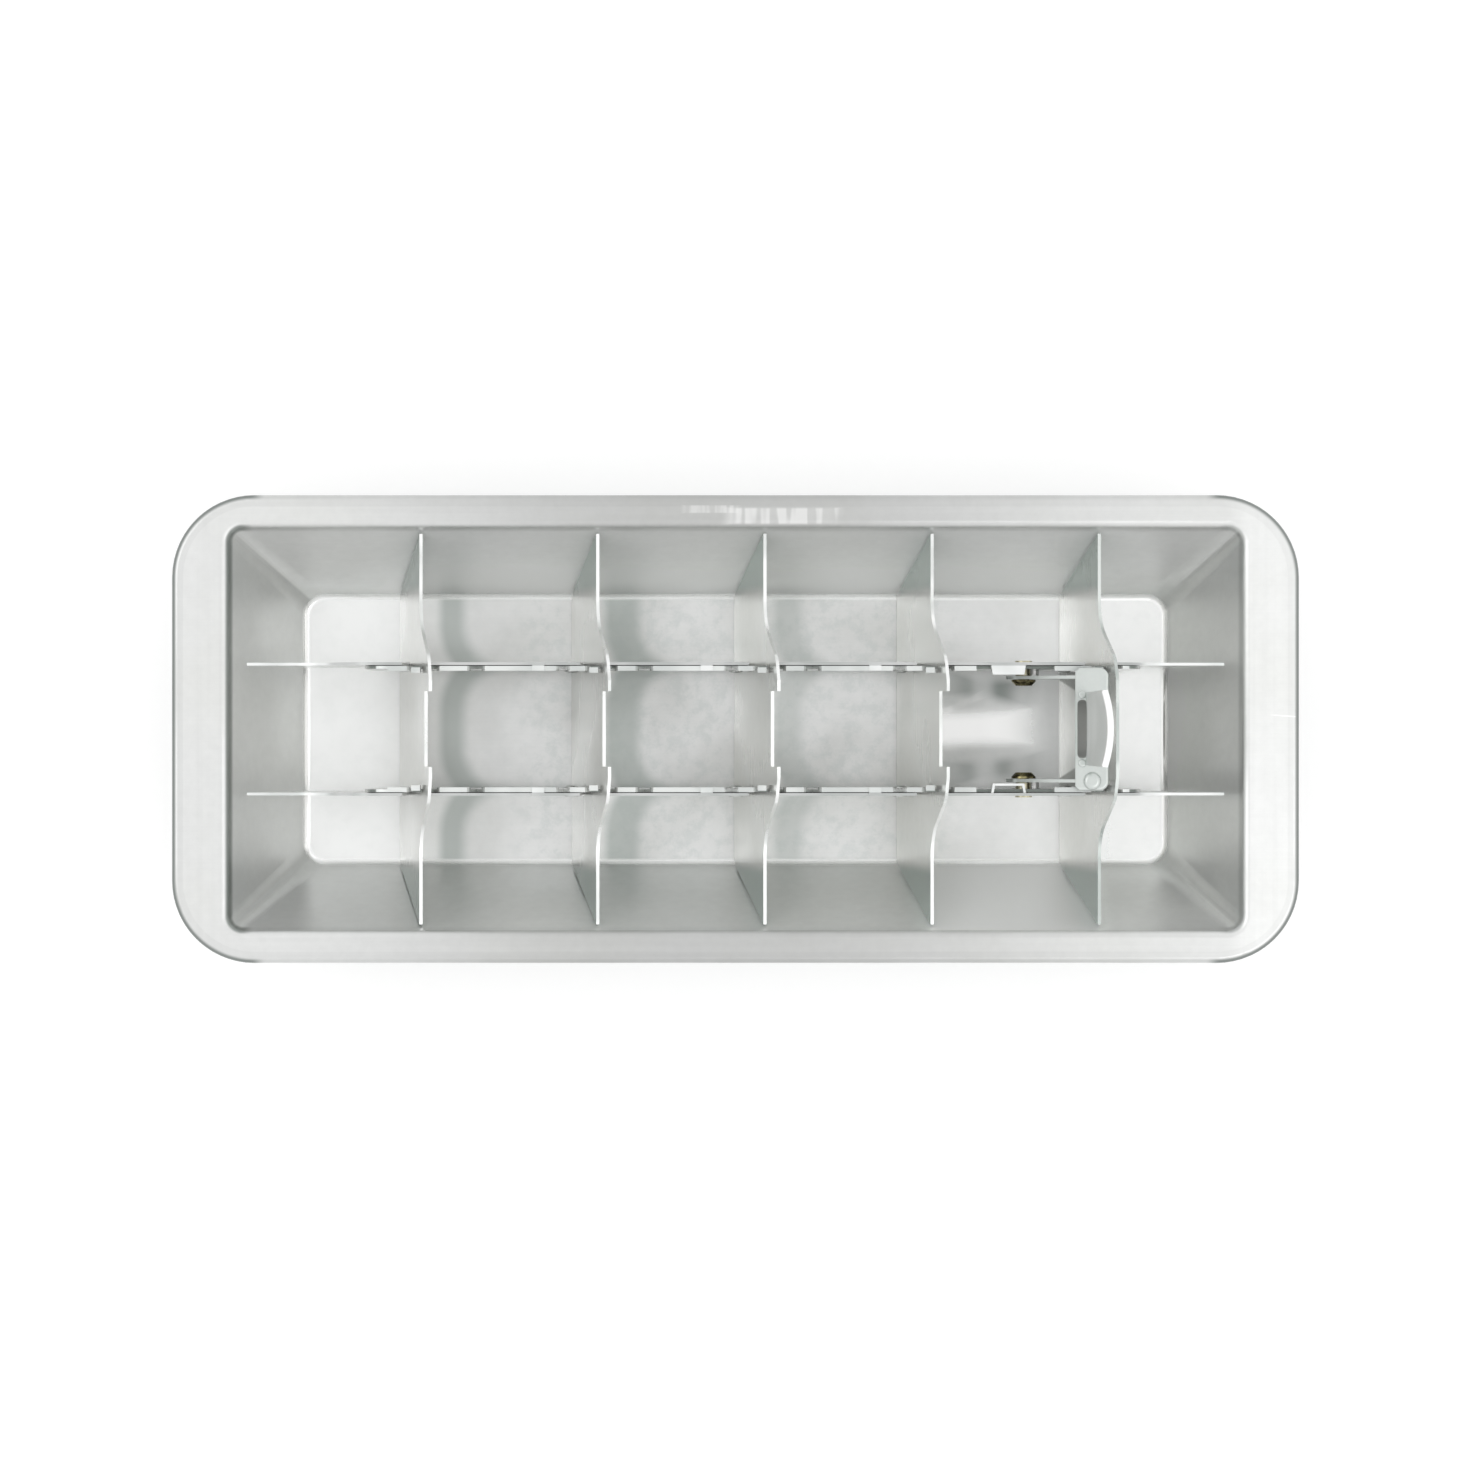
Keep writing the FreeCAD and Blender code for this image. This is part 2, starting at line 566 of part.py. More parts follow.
def build_slide_plate(name, side):
    """Cut a slide plate with tapered notches, slots, steps and drive tabs."""
    body = new_body(f"slide_plate_{name}")
    thickness = "3 * slide_sheet"
    blank = side_sketch(body, "outline", side, "slide_inner")
    start, end = f"{PIVOTS[0]} - slide_lead", f"{PIVOTS[-1]} + slide_tail"
    outline = box_corners(start, end, "slide_foot", SLIDE_TOP)
    polygon(blank, outline)
    side_pad(blank, "blank", "slide_sheet", side)
    fillet(body, "ends", "slide_corner", stands_at(outline, "y"))
    hem = side_sketch(body, "hem", side, "slide_inner - hem_reach")
    hem_ends = (f"{start} + slide_corner", f"{end} - slide_corner")
    polygon(hem, box_corners(*hem_ends, f"{SLIDE_TOP} - hem_high", SLIDE_TOP))
    side_pad(hem, "hemmed_top", "hem_reach + slide_sheet / 2", side)

    cut_top = f"({SLIDE_TOP} + {MARGIN})"
    drive_height = f"(pivot_height + {TRAVEL} / {LEAN})"
    notches = side_sketch(body, "notches", side, "slide_inner")
    for pivot in PIVOTS:
        moved = f"({pivot} + {TRAVEL})"
        leaning = f"({pivot} + {LEAN} * ({cut_top} - pivot_height))"
        polygon(notches, [
            (f"{pivot} - {THROAT}", f"pivot_height - {THROAT}"),
            (f"{moved} + {THROAT}", f"pivot_height - {THROAT}"),
            (f"{moved} + {THROAT}", drive_height),
            (f"{leaning} + {THROAT}", cut_top),
            (f"{moved} - {THROAT}", cut_top),
            (f"{moved} - {THROAT}", drive_height),
            (f"{pivot} - {THROAT}", "pivot_height"),
        ])
    pocket(notches, "tapered_notches", thickness)

    slots = side_sketch(body, "rivet_slots", side, "slide_inner")
    rounds = [(LEVER_X, LEVER_Z, "(rivet_collar + collar_gap)")]
    rounds += [(guide, "guide_height", "(guide_shank + collar_gap)") for guide in GUIDES]
    for across, height, room in rounds:
        left, right = f"{across} - {room}", f"{across} + {TRAVEL} + {room}"
        rounded_rectangle(slots, left, right, f"{height} - {room}", f"{height} + {room}", f"{room} * 0.95")
    pocket(slots, "sliding_slots", thickness)

    room = "(pin_radius + pin_gap)"
    crank = side_sketch(body, "pin_slot", side, "slide_inner")
    pin_top = f"{LEVER_Z} + crank_radius + {room}"
    polygon(crank, box_corners(f"{PIN_X} - {room}", f"{PIN_X} + {room}", LEVER_Z, pin_top))
    pocket(crank, "pin_slot_cut", thickness)

    bay = side_sketch(body, "bay", side, "slide_inner")
    bay_end = f"{HAT_RIGHT} + {TRAVEL} + bay_right"
    polygon(bay, box_corners(f"{HAT_LEFT} - bay_left", bay_end, f"{HAT_BOTTOM} - bay_depth", cut_top))
    pocket(bay, "hat_bay", thickness)

    steps = side_sketch(body, "steps", side, "slide_inner")
    for following in PIVOTS[1:-1]:
        for set_back, length in (("long_step", "long_step_length"), ("short_step", "short_step_length")):
            left = f"{following} - {set_back}"
            polygon(steps, [
                (left, SLIDE_TOP),
                (f"{left} + {length} / 2", f"{SLIDE_TOP} - step_depth"),
                (f"{left} + {length}", SLIDE_TOP),
                (f"{left} + {length}", cut_top),
                (left, cut_top),
            ])
    pocket(steps, "top_notches", thickness)

    reliefs = side_sketch(body, "reliefs", side, "slide_inner")
    relief_floor = f"{SLIDE_TOP} - relief_depth"
    for pivot in PIVOTS:
        left = f"({pivot} + relief_start)"
        right = f"({left} + relief_length)"
        polygon(reliefs, [
            (left, cut_top),
            (left, SLIDE_TOP),
            (f"{left} + relief_slant", relief_floor),
            (f"{right} - relief_slant", relief_floor),
            (right, SLIDE_TOP),
            (right, cut_top),
        ])
    pocket(reliefs, "divider_reliefs", thickness)

    tabs = side_sketch(body, "drive_tabs", side, "slide_inner - drive_tab_reach")
    tab_top = f"({SLIDE_TOP} - drive_tab_drop)"
    tab_floor = f"({tab_top} - drive_tab_high)"
    for pivot in PIVOTS:
        right = f"{pivot} + {LEAN} * ({tab_floor} - pivot_height) - {THROAT}"
        polygon(tabs, box_corners(f"{right} - drive_tab_length", right, tab_floor, tab_top))
    side_pad(tabs, "drive_tab_sheet", "drive_tab_reach + slide_sheet / 2", side)


# ---------------------------------------------------------------------- the dividers

def build_divider(number, pivot):
    """Cut one cross divider; the last one has no notch for the lever."""
    body = new_body(f"cross_divider_{number}")
    foot = "(pivot_height - pan_sheet - floor_gap)"
    wing = "((pan_height - wing_drop - pivot_height) / cos(divider_tilt))"
    crown = f"(({PLATE_TOP} + crown_lift - pivot_height) / cos(divider_tilt))"

    def wall(height):
        return f"({FLOOR_WIDTH} / 2 + {SLOPE} * ({height} - pan_sheet) - wall_gap)"

    right = [
        (wall(f"(pivot_height - {foot})"), f"-{foot}"),
        (wall("(pan_height - wing_drop)"), wing),
        (f"({FIXED_OUTER} + wing_set)", wing),
        (f"({FIXED_OUTER} + shoulder_set)", f"({crown} - shoulder_drop)"),
        ("(slide_inner - crown_set)", crown),
    ]
    left = [(f"-{across}", height) for across, height in right]
    blank = new_sketch(body, "outline", "YZ", "-divider_sheet / 2")
    polygon(blank, right + left[::-1])
    pad(blank, "blank", "divider_sheet")
    for corner, radius in ((0, "foot_round"), (2, "wing_round"), (3, "shoulder_round")):
        fillet(body, f"{radius}s", radius, stands_at([right[corner], left[corner]], "x"))

    slots = new_sketch(body, "slots", "YZ")
    for sign in ("", "-"):
        inner, outer = f"{sign}(slide_inner - slot_gap)", f"{sign}({FIXED_OUTER} + slot_gap)"
        polygon(slots, box_corners(inner, outer, f"-{foot} - {MARGIN}", "0"))
    pocket(slots, "plate_slots", "3 * divider_sheet")
    if number < DIVIDERS:
        notch = new_sketch(body, "notch", "YZ")
        half = "(handle_half + handle_gap)"
        polygon(notch, box_corners(f"-{half}", half, f"{crown} - saddle_drop", f"{crown} + {MARGIN}"))
        pocket(notch, "lever_notch", "3 * divider_sheet")

    body.Placement = Placement(Vector(), Rotation(Vector(0, 1, 0), value("divider_tilt")))
    body.setExpression("Placement.Rotation.Angle", bound("divider_tilt"))
    body.setExpression("Placement.Base.x", bound(pivot))
    body.setExpression("Placement.Base.z", bound("pivot_height"))


# ------------------------------------------------------------------------- the lever

def build_lever():
    """Stamp the lever: two arms, a slotted bridge and a bowed handle with a lip."""
    body = new_body("lever_handle")
    rise = f"atan(({BRIDGE_BOTTOM} - {LEVER_Z}) / ({BRIDGE_LEFT} + heel_inset - {LEVER_X}))"
    for name, side in SIDES:
        arm = side_sketch(body, f"arm_{name}", side, ARM_INNER)
        polygon(arm, [
            (f"{LEVER_X} - arm_boss * sin({rise})", f"{LEVER_Z} + arm_boss * cos({rise})"),
            (f"{LEVER_X} + arm_boss * sin({rise})", f"{LEVER_Z} - arm_boss * cos({rise})"),
            (f"{BRIDGE_RIGHT} - heel_inset", f"{BRIDGE_BOTTOM} - arm_heel"),
            (f"{BRIDGE_RIGHT} - heel_inset", BRIDGE_MIDDLE),
            (f"{BRIDGE_LEFT} + arm_inset", BRIDGE_MIDDLE),
        ])
        side_pad(arm, f"arm_{name}_sheet", "lever_sheet", side)
        boss = side_sketch(body, f"boss_{name}", side, ARM_INNER)
        circle(boss, LEVER_X, LEVER_Z, "arm_boss")
        side_pad(boss, f"boss_{name}_sheet", "lever_sheet", side)

    bridge = new_sketch(body, "bridge", "XY", BRIDGE_BOTTOM)
    half = f"({ARM_OUTER} + bridge_reach)"
    outline = [
        (f"{BRIDGE_LEFT} + bridge_chamfer", f"-{half}"),
        (BRIDGE_RIGHT, f"-{half}"),
        (BRIDGE_RIGHT, half),
        (f"{BRIDGE_LEFT} + bridge_chamfer", half),
        (BRIDGE_LEFT, f"{half} - bridge_chamfer"),
        (BRIDGE_LEFT, f"bridge_chamfer - {half}"),
    ]
    polygon(bridge, outline)
    pad(bridge, "bridge_plate", "bridge_sheet")
    fillet(body, "bridge_corners", "bridge_round", stands_at(outline[1:3], "z"))
    fillet(body, "bridge_rolled", "bridge_roll", right_edge(BRIDGE_TOP, f"{BRIDGE_RIGHT} - bridge_round"))
    press_bumps(body, half)

    crest = f"({BRIDGE_LEFT} + window_set + window_width + lever_sheet)"
    top = f"({BRIDGE_TOP} + handle_length)"
    handle_foot = new_sketch(body, "handle_foot", "XY", BRIDGE_MIDDLE)
    bowed_strip(handle_foot, crest, "foot_bow", "handle_half", "lever_sheet")
    handle_top = new_sketch(body, "handle_top", "XY", top)
    top_crest = f"({crest} - handle_lean)"
    centre, radius = bowed_strip(handle_top, top_crest, "handle_bow", "handle_half", "lever_sheet")
    upright = body.newObject("PartDesign::AdditiveLoft", "lever_handle_upright")
    upright.Profile = handle_foot
    upright.Sections = [handle_top]
    upright.Ruled = True
    doc.recompute()
    curl_lip(body, f"{top_crest} - lever_sheet / 2", top, centre, radius)

    slot = new_sketch(body, "slot", "XY", BRIDGE_BOTTOM)
    slot_left = f"{BRIDGE_LEFT} + window_set"
    slot_sides = (slot_left, f"{slot_left} + window_width", "-window_length / 2", "window_length / 2")
    rounded_rectangle(slot, *slot_sides, "window_width * 0.48")
    pocket(slot, "bridge_slot", "3 * bridge_sheet")

    bores = new_sketch(body, "bores", "XZ")
    circle(bores, LEVER_X, LEVER_Z, "rivet_shank + running_gap")
    circle(bores, PIN_X, PIN_Z, "pin_radius")
    pocket(bores, "arm_bores", f"3 * {ARM_OUTER}")


def press_bumps(body, bridge_half):
    """Press a dome into the front shoulder and a bump beyond each end of the slot."""
    dome = new_sketch(body, "dome", "XY", BRIDGE_TOP)
    dome_place = (f"{BRIDGE_LEFT} + bridge_depth / 2", f"-{bridge_half} + bridge_round")
    circle(dome, *dome_place, "dome_radius")
    pad(dome, "dome_blank", "dome_high")
    bumps = new_sketch(body, "bumps", "XY", BRIDGE_TOP)
    bump_x = f"{BRIDGE_LEFT} + window_set + window_width / 2"
    for sign in ("", "-"):
        bump_y = f"{sign}(window_length / 2 + dimple_radius + lever_sheet / 4)"
        circle(bumps, bump_x, bump_y, "dimple_radius")
    pad(bumps, "bump_blanks", "dimple_high")

    def rim_test(height, radius):
        level, size = value(height), value(radius)

        def accept(edge):
            box = edge.BoundBox
            round_rim = abs(box.XLength - 2 * size) < 0.01 and abs(box.YLength - 2 * size) < 0.01
            return round_rim and box.ZLength < 0.01 and abs(box.ZMin - level) < 0.01

        return accept

    fillet(body, "dome_roll", "dome_high * 0.9", rim_test(f"{BRIDGE_TOP} + dome_high", "dome_radius"))
    fillet(body, "bump_roll", "dimple_high * 0.9", rim_test(f"{BRIDGE_TOP} + dimple_high", "dimple_radius"))


def curl_lip(body, rim_x, rim_z, centre_x, radius):
    """Roll a round lip along the handle's bowed top edge."""
    lip = new_sketch(body, "lip", "XZ")
    circle(lip, rim_x, rim_z, "lip_radius")
    start = Vector(value(centre_x), 0, 0)
    axis = lip.addGeometry(Part.LineSegment(start, start + Vector(0, 10, 0)), True)
    lip.addConstraint(Sketcher.Constraint("Vertical", axis))
    place_point(lip, centre_x, "0", axis, 1)
    fix(lip, "Distance", "10", axis)
    curl = body.newObject("PartDesign::Revolution", "lever_handle_curl")
    curl.Profile = lip
    curl.ReferenceAxis = (lip, ["Axis0"])
    curl.Midplane = True
    curl.setExpression("Angle", bound(f"2 * asin(handle_half / {radius})"))
    doc.recompute()


# ------------------------------------------------------------------- rivets and pins

def turned(name, profile, side, across, height):
    """Turn a piece about an axis along Y from (radius, distance from the middle)."""
    body = new_body(name)
    sketch = new_sketch(body, "profile", "XY")
    polygon(sketch, [(radius, signed(side, distance)) for radius, distance in profile])
    axes = [item for item in body.Origin.OriginFeatures if item.Role == "Y_Axis"]
    feature = body.newObject("PartDesign::Revolution", f"{name}_turned")
    feature.Profile = sketch
    feature.ReferenceAxis = (axes[0], [""])
    body.setExpression("Placement.Base.x", bound(across))
    body.setExpression("Placement.Base.z", bound(height))
    doc.recompute()
    return body


def build_pivot_rivet(name, side):
    """Turn a lever rivet: hollow head, shank, collar and flattened tail."""
    head_face = f"({ARM_INNER} - face_gap)"
    head_tip = f"({head_face} - rivet_head_high)"
    cup_floor = f"({head_tip} + rivet_cup_deep)"
    collar_face = f"({ARM_OUTER} + face_gap)"
    tail_tip = f"({FIXED_OUTER} + rivet_tail_high)"
    turned(f"pivot_rivet_{name}", [
        ("0", cup_floor),
        ("rivet_cup", cup_floor),
        ("rivet_cup", head_tip),
        ("rivet_crown", head_tip),
        ("rivet_head", f"{head_tip} + rivet_bevel"),
        ("rivet_head", head_face),
        ("rivet_shank", head_face),
        ("rivet_shank", collar_face),
        ("rivet_collar", collar_face),
        ("rivet_collar", FIXED_INNER),
        ("rivet_shank", FIXED_INNER),
        ("rivet_shank", FIXED_OUTER),
        ("rivet_tail", FIXED_OUTER),
        ("rivet_tail", tail_tip),
        ("0", tail_tip),
    ], side, LEVER_X, LEVER_Z)


def build_drive_pin(name, side):
    """Turn the pin on a lever arm that carries the slide plate along."""
    tip = "(slide_inner + slide_sheet)"
    profile = [("0", ARM_INNER), ("pin_radius", ARM_INNER), ("pin_radius", tip), ("0", tip)]
    turned(f"drive_pin_{name}", profile, side, PIN_X, PIN_Z)


def build_guide_rivets(name, side):
    """Turn the rivets that hold a slide plate against its long plate."""
    head_face = "(slide_inner - face_gap)"
    head_tip = f"({head_face} - guide_head_high)"
    tail_tip = f"({FIXED_OUTER} + guide_head_high)"
    profile = [
        ("0", head_tip),
        ("guide_crown", head_tip),
        ("guide_head", f"{head_tip} + guide_bevel"),
        ("guide_head", head_face),
        ("guide_shank", head_face),
        ("guide_shank", FIXED_OUTER),
        ("guide_head", FIXED_OUTER),
        ("guide_head", tail_tip),
        ("0", tail_tip),
    ]
    group = doc.addObject("Part::Compound", f"guide_rivets_{name}")
    group.Label = f"guide_rivets_{name}"
    group.Links = [
        turned(f"guide_rivet_{name}_{number}", profile, side, guide, "guide_height")
        for number, guide in enumerate(GUIDES, start=1)
    ]


# -------------------------------------------------------------------- build and write

build_pan()
for side_name, side_sign in SIDES:
    build_long_plate(side_name, side_sign)
    build_slide_plate(side_name, side_sign)
    build_pivot_rivet(side_name, side_sign)
    build_drive_pin(side_name, side_sign)
    build_guide_rivets(side_name, side_sign)
for divider_number, divider_pivot in enumerate(PIVOTS, start=1):
    build_divider(divider_number, divider_pivot)
build_lever()
doc.recompute()

for item in doc.Objects:
    if "Invalid" in item.State or "Error" in item.State:
        raise ValueError(f"{item.Label} failed: {item.State}")

groups = [item for item in doc.Objects if item.isDerivedFrom("Part::Compound")]
grouped = [member.Name for group in groups for member in group.Links]
bodies = [item for item in doc.Objects if item.isDerivedFrom("PartDesign::Body")]
os.makedirs("parts", exist_ok=True)
for node in [body for body in bodies if body.Name not in grouped] + groups:
    if node.Shape.isNull() or not node.Shape.isValid():
        raise ValueError(f"{node.Label} has no valid shape")
    node.Shape.exportStep(os.path.join("parts", f"{node.Label}.step"))
    print(node.Label, len(node.Shape.Solids), round(node.Shape.Volume, 1))
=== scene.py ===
"""Looks of the lever ice cube tray: finishes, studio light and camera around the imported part.

Every sheet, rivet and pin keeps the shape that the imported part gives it. This file gives each
one its metal, softens the cut edges so that they catch the light, and sets up a plain studio.
"""

import logging
import math
from dataclasses import dataclass, replace
from enum import Enum
from typing import Any

import bpy
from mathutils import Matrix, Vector


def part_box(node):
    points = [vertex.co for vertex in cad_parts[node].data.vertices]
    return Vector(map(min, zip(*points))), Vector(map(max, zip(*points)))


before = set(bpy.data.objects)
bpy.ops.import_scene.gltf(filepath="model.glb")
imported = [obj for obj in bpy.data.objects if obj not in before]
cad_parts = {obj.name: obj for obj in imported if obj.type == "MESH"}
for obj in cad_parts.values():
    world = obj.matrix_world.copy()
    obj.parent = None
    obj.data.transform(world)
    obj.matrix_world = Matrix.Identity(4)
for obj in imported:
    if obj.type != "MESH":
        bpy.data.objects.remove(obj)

log = logging.getLogger("ice_cube_tray")
MM = 0.001  # one millimetre in scene units
FLAT = 1000.0  # mm; past any size of the tray, for a shape that ignores one axis
SHARP = math.radians(50)  # edges that turn more than this are softened
Socket = bpy.types.NodeSocket
Tree = bpy.types.NodeTree


# ------------------------------------------------------------------------- small helpers


def linear(hex_colour: str) -> tuple[float, float, float, float]:
    """Turn an sRGB hex colour into linear light.

    Args:
        hex_colour: Six hex digits with a leading #.

    Returns:
        Red, green, blue and an alpha of one.
    """
    channels = [int(hex_colour[place : place + 2], 16) / 255 for place in (1, 3, 5)]
    light = [c / 12.92 if c <= 0.04045 else ((c + 0.055) / 1.055) ** 2.4 for c in channels]
    return (light[0], light[1], light[2], 1.0)


def add_node(
    tree: Tree, kind: str, settings: dict[str, Any] | None = None,
    inputs: dict[str | int, Any] | None = None,
) -> bpy.types.Node:
    """Add a node with its settings and what feeds it.

    Args:
        tree: The tree that gets the node.
        kind: The node's type name.
        settings: Values of the node's own properties.
        inputs: For each input's name or number, the socket that feeds it or its fixed value.

    Returns:
        The new node.
    """
    node = tree.nodes.new(kind)
    for name, value in (settings or {}).items():
        setattr(node, name, value)
    for place, source in (inputs or {}).items():
        if isinstance(source, Socket):
            tree.links.new(source, node.inputs[place])
        else:
            node.inputs[place].default_value = source
    return node


def together(*shares: Socket) -> Socket:
    """Multiply shares, so that each takes its part of what the others leave.

    Args:
        shares: Two or more values of one tree.

    Returns:
        Their product.
    """
    product = shares[0]
    for share in shares[1:]:
        product = add_node(
            product.id_data, "ShaderNodeMath", {"operation": "MULTIPLY"}, {0: product, 1: share}
        ).outputs[0]
    return product


def laid_over(base: Socket | str, cover: Socket, top: Socket | str) -> Socket:
    """Lay one colour over another.

    Args:
        base: The colour below, as a socket or in sRGB hex.
        cover: How much of it the top one hides, from zero to one.
        top: The colour above.

    Returns:
        The colour that is seen.
    """
    below, above = (linear(colour) if isinstance(colour, str) else colour for colour in (base, top))
    mixed = add_node(
        cover.id_data, "ShaderNodeMix", {"data_type": "RGBA"}, {"Factor": cover, 6: below, 7: above}
    )
    return mixed.outputs[2]


def new_material(name: str) -> bpy.types.Material:
    """Make a material with no nodes yet.

    Args:
        name: Its name.

    Returns:
        The material.
    """
    material = bpy.data.materials.new(name)
    material.use_nodes = True
    material.node_tree.nodes.clear()
    return material


def dress(piece: bpy.types.Object, material: bpy.types.Material) -> None:
    """Give a piece one finish over all its faces.

    Args:
        piece: The piece.
        material: Its finish.
    """
    piece.data.materials.clear()
    piece.data.materials.append(material)
    log.info("dressed %s in %s", piece.name, material.name)


def soften(piece: bpy.types.Object, width: float) -> None:
    """Round the sharp edges of a piece so that they catch a line of light.

    Args:
        piece: The piece.
        width: Width of the rounding in millimetres.
    """
    bevel = piece.modifiers.new("softened_edges", "BEVEL")
    bevel.width = width * MM
    bevel.segments = 2
    bevel.limit_method = "ANGLE"
    bevel.angle_limit = SHARP
    bevel.harden_normals = True


# ------------------------------------------------------------------- places, fades and skins


@dataclass(frozen=True)
class Fade:
    """A change of a value while a place or a level goes from low to high."""

    low: float
    high: float
    at_low: float | Socket = 0.0
    at_high: float | Socket = 1.0
    eased: bool = True  # starts and ends softly; else it changes evenly

    def of(self, source: Socket) -> Socket:
        """Follow a place or a level.

        Args:
            source: What goes from low to high.

        Returns:
            The value: at_low up to low, at_high from high on.
        """
        change = add_node(
            source.id_data, "ShaderNodeMapRange",
            {"interpolation_type": "SMOOTHSTEP" if self.eased else "LINEAR"},
            {
                "Value": source, "From Min": self.low, "From Max": self.high,
                "To Min": self.at_low, "To Max": self.at_high,
            },
        )
        return change.outputs[0]


def left_after(loss: float, cover: Socket) -> Socket:
    """Return the share that is left where a cover takes the given loss."""
    return Fade(0.0, 1.0, 1.0, 1.0 - loss).of(cover)


@dataclass(frozen=True)
class Place:
    """Where a point of a piece lies at rest, as sockets, in millimetres of the tray's frame."""

    tree: Tree
    point: Socket  # along the tray, across it and up
    unsigned: Socket  # the same as distances from the middle
    along: Socket  # towards the lever's end
    across: Socket  # towards the back
    height: Socket
    off_along: Socket  # distance from the middle, towards either end
    off_across: Socket  # and towards either side
    facing_up: Socket  # one where the face looks up, minus one where it looks down

    @classmethod
    def on_piece(cls, tree: Tree) -> "Place":
        """Find the places on whatever piece wears a material.

        Args:
            tree: The material's tree.

        Returns:
            The place of each shaded point.
        """
        own = add_node(tree, "ShaderNodeTexCoord").outputs
        point = add_node(
            tree, "ShaderNodeVectorMath", {"operation": "SCALE"}, {0: own["Object"], "Scale": 1 / MM}
        ).outputs[0]
        unsigned = add_node(tree, "ShaderNodeVectorMath", {"operation": "ABSOLUTE"}, {0: point}).outputs[0]
        axes, off, facing = (
            add_node(tree, "ShaderNodeSeparateXYZ", None, {0: vector}).outputs
            for vector in (point, unsigned, own["Normal"])
        )
        return cls(
            tree, point, unsigned, axes["X"], axes["Y"], axes["Z"], off["X"], off["Y"], facing["Z"]
        )


@dataclass(frozen=True)
class Skin:
    """Colour and roughness of a piece's surface, as sockets."""

    tint: Socket
    dull: Socket

    def shaded(self, share: Socket | float) -> "Skin":
        """Darken or lighten the skin.

        Args:
            share: Share of its brightness that is left; above one it grows lighter.

        Returns:
            The skin after it.
        """
        shaded = add_node(
            self.tint.id_data, "ShaderNodeVectorMath", {"operation": "SCALE"},
            {0: self.tint, "Scale": share},
        )
        return replace(self, tint=shaded.outputs[0])

    def covered(self, cover: Socket, colour: Socket | str) -> "Skin":
        """Return the skin with a colour laid over it where the cover lies."""
        return replace(self, tint=laid_over(self.tint, cover, colour))

    def polished(self, cover: Socket, taken: float) -> "Skin":
        """Polish the skin where the cover lies.

        Args:
            cover: Where it was polished.
            taken: Share of its roughness that this took off.

        Returns:
            The skin after it.
        """
        if not taken:
            return self
        return replace(self, dull=together(self.dull, left_after(taken, cover)))


# ------------------------------------------------------------------------------ finishes


class Grain(Enum):
    """Which way the rolling lines of a sheet run, as stretch factors along X, Y and Z."""

    ALONG = (0.015, 1.0, 1.0)
    ACROSS = (1.0, 0.015, 1.0)
    UPRIGHT = (1.0, 1.0, 0.015)


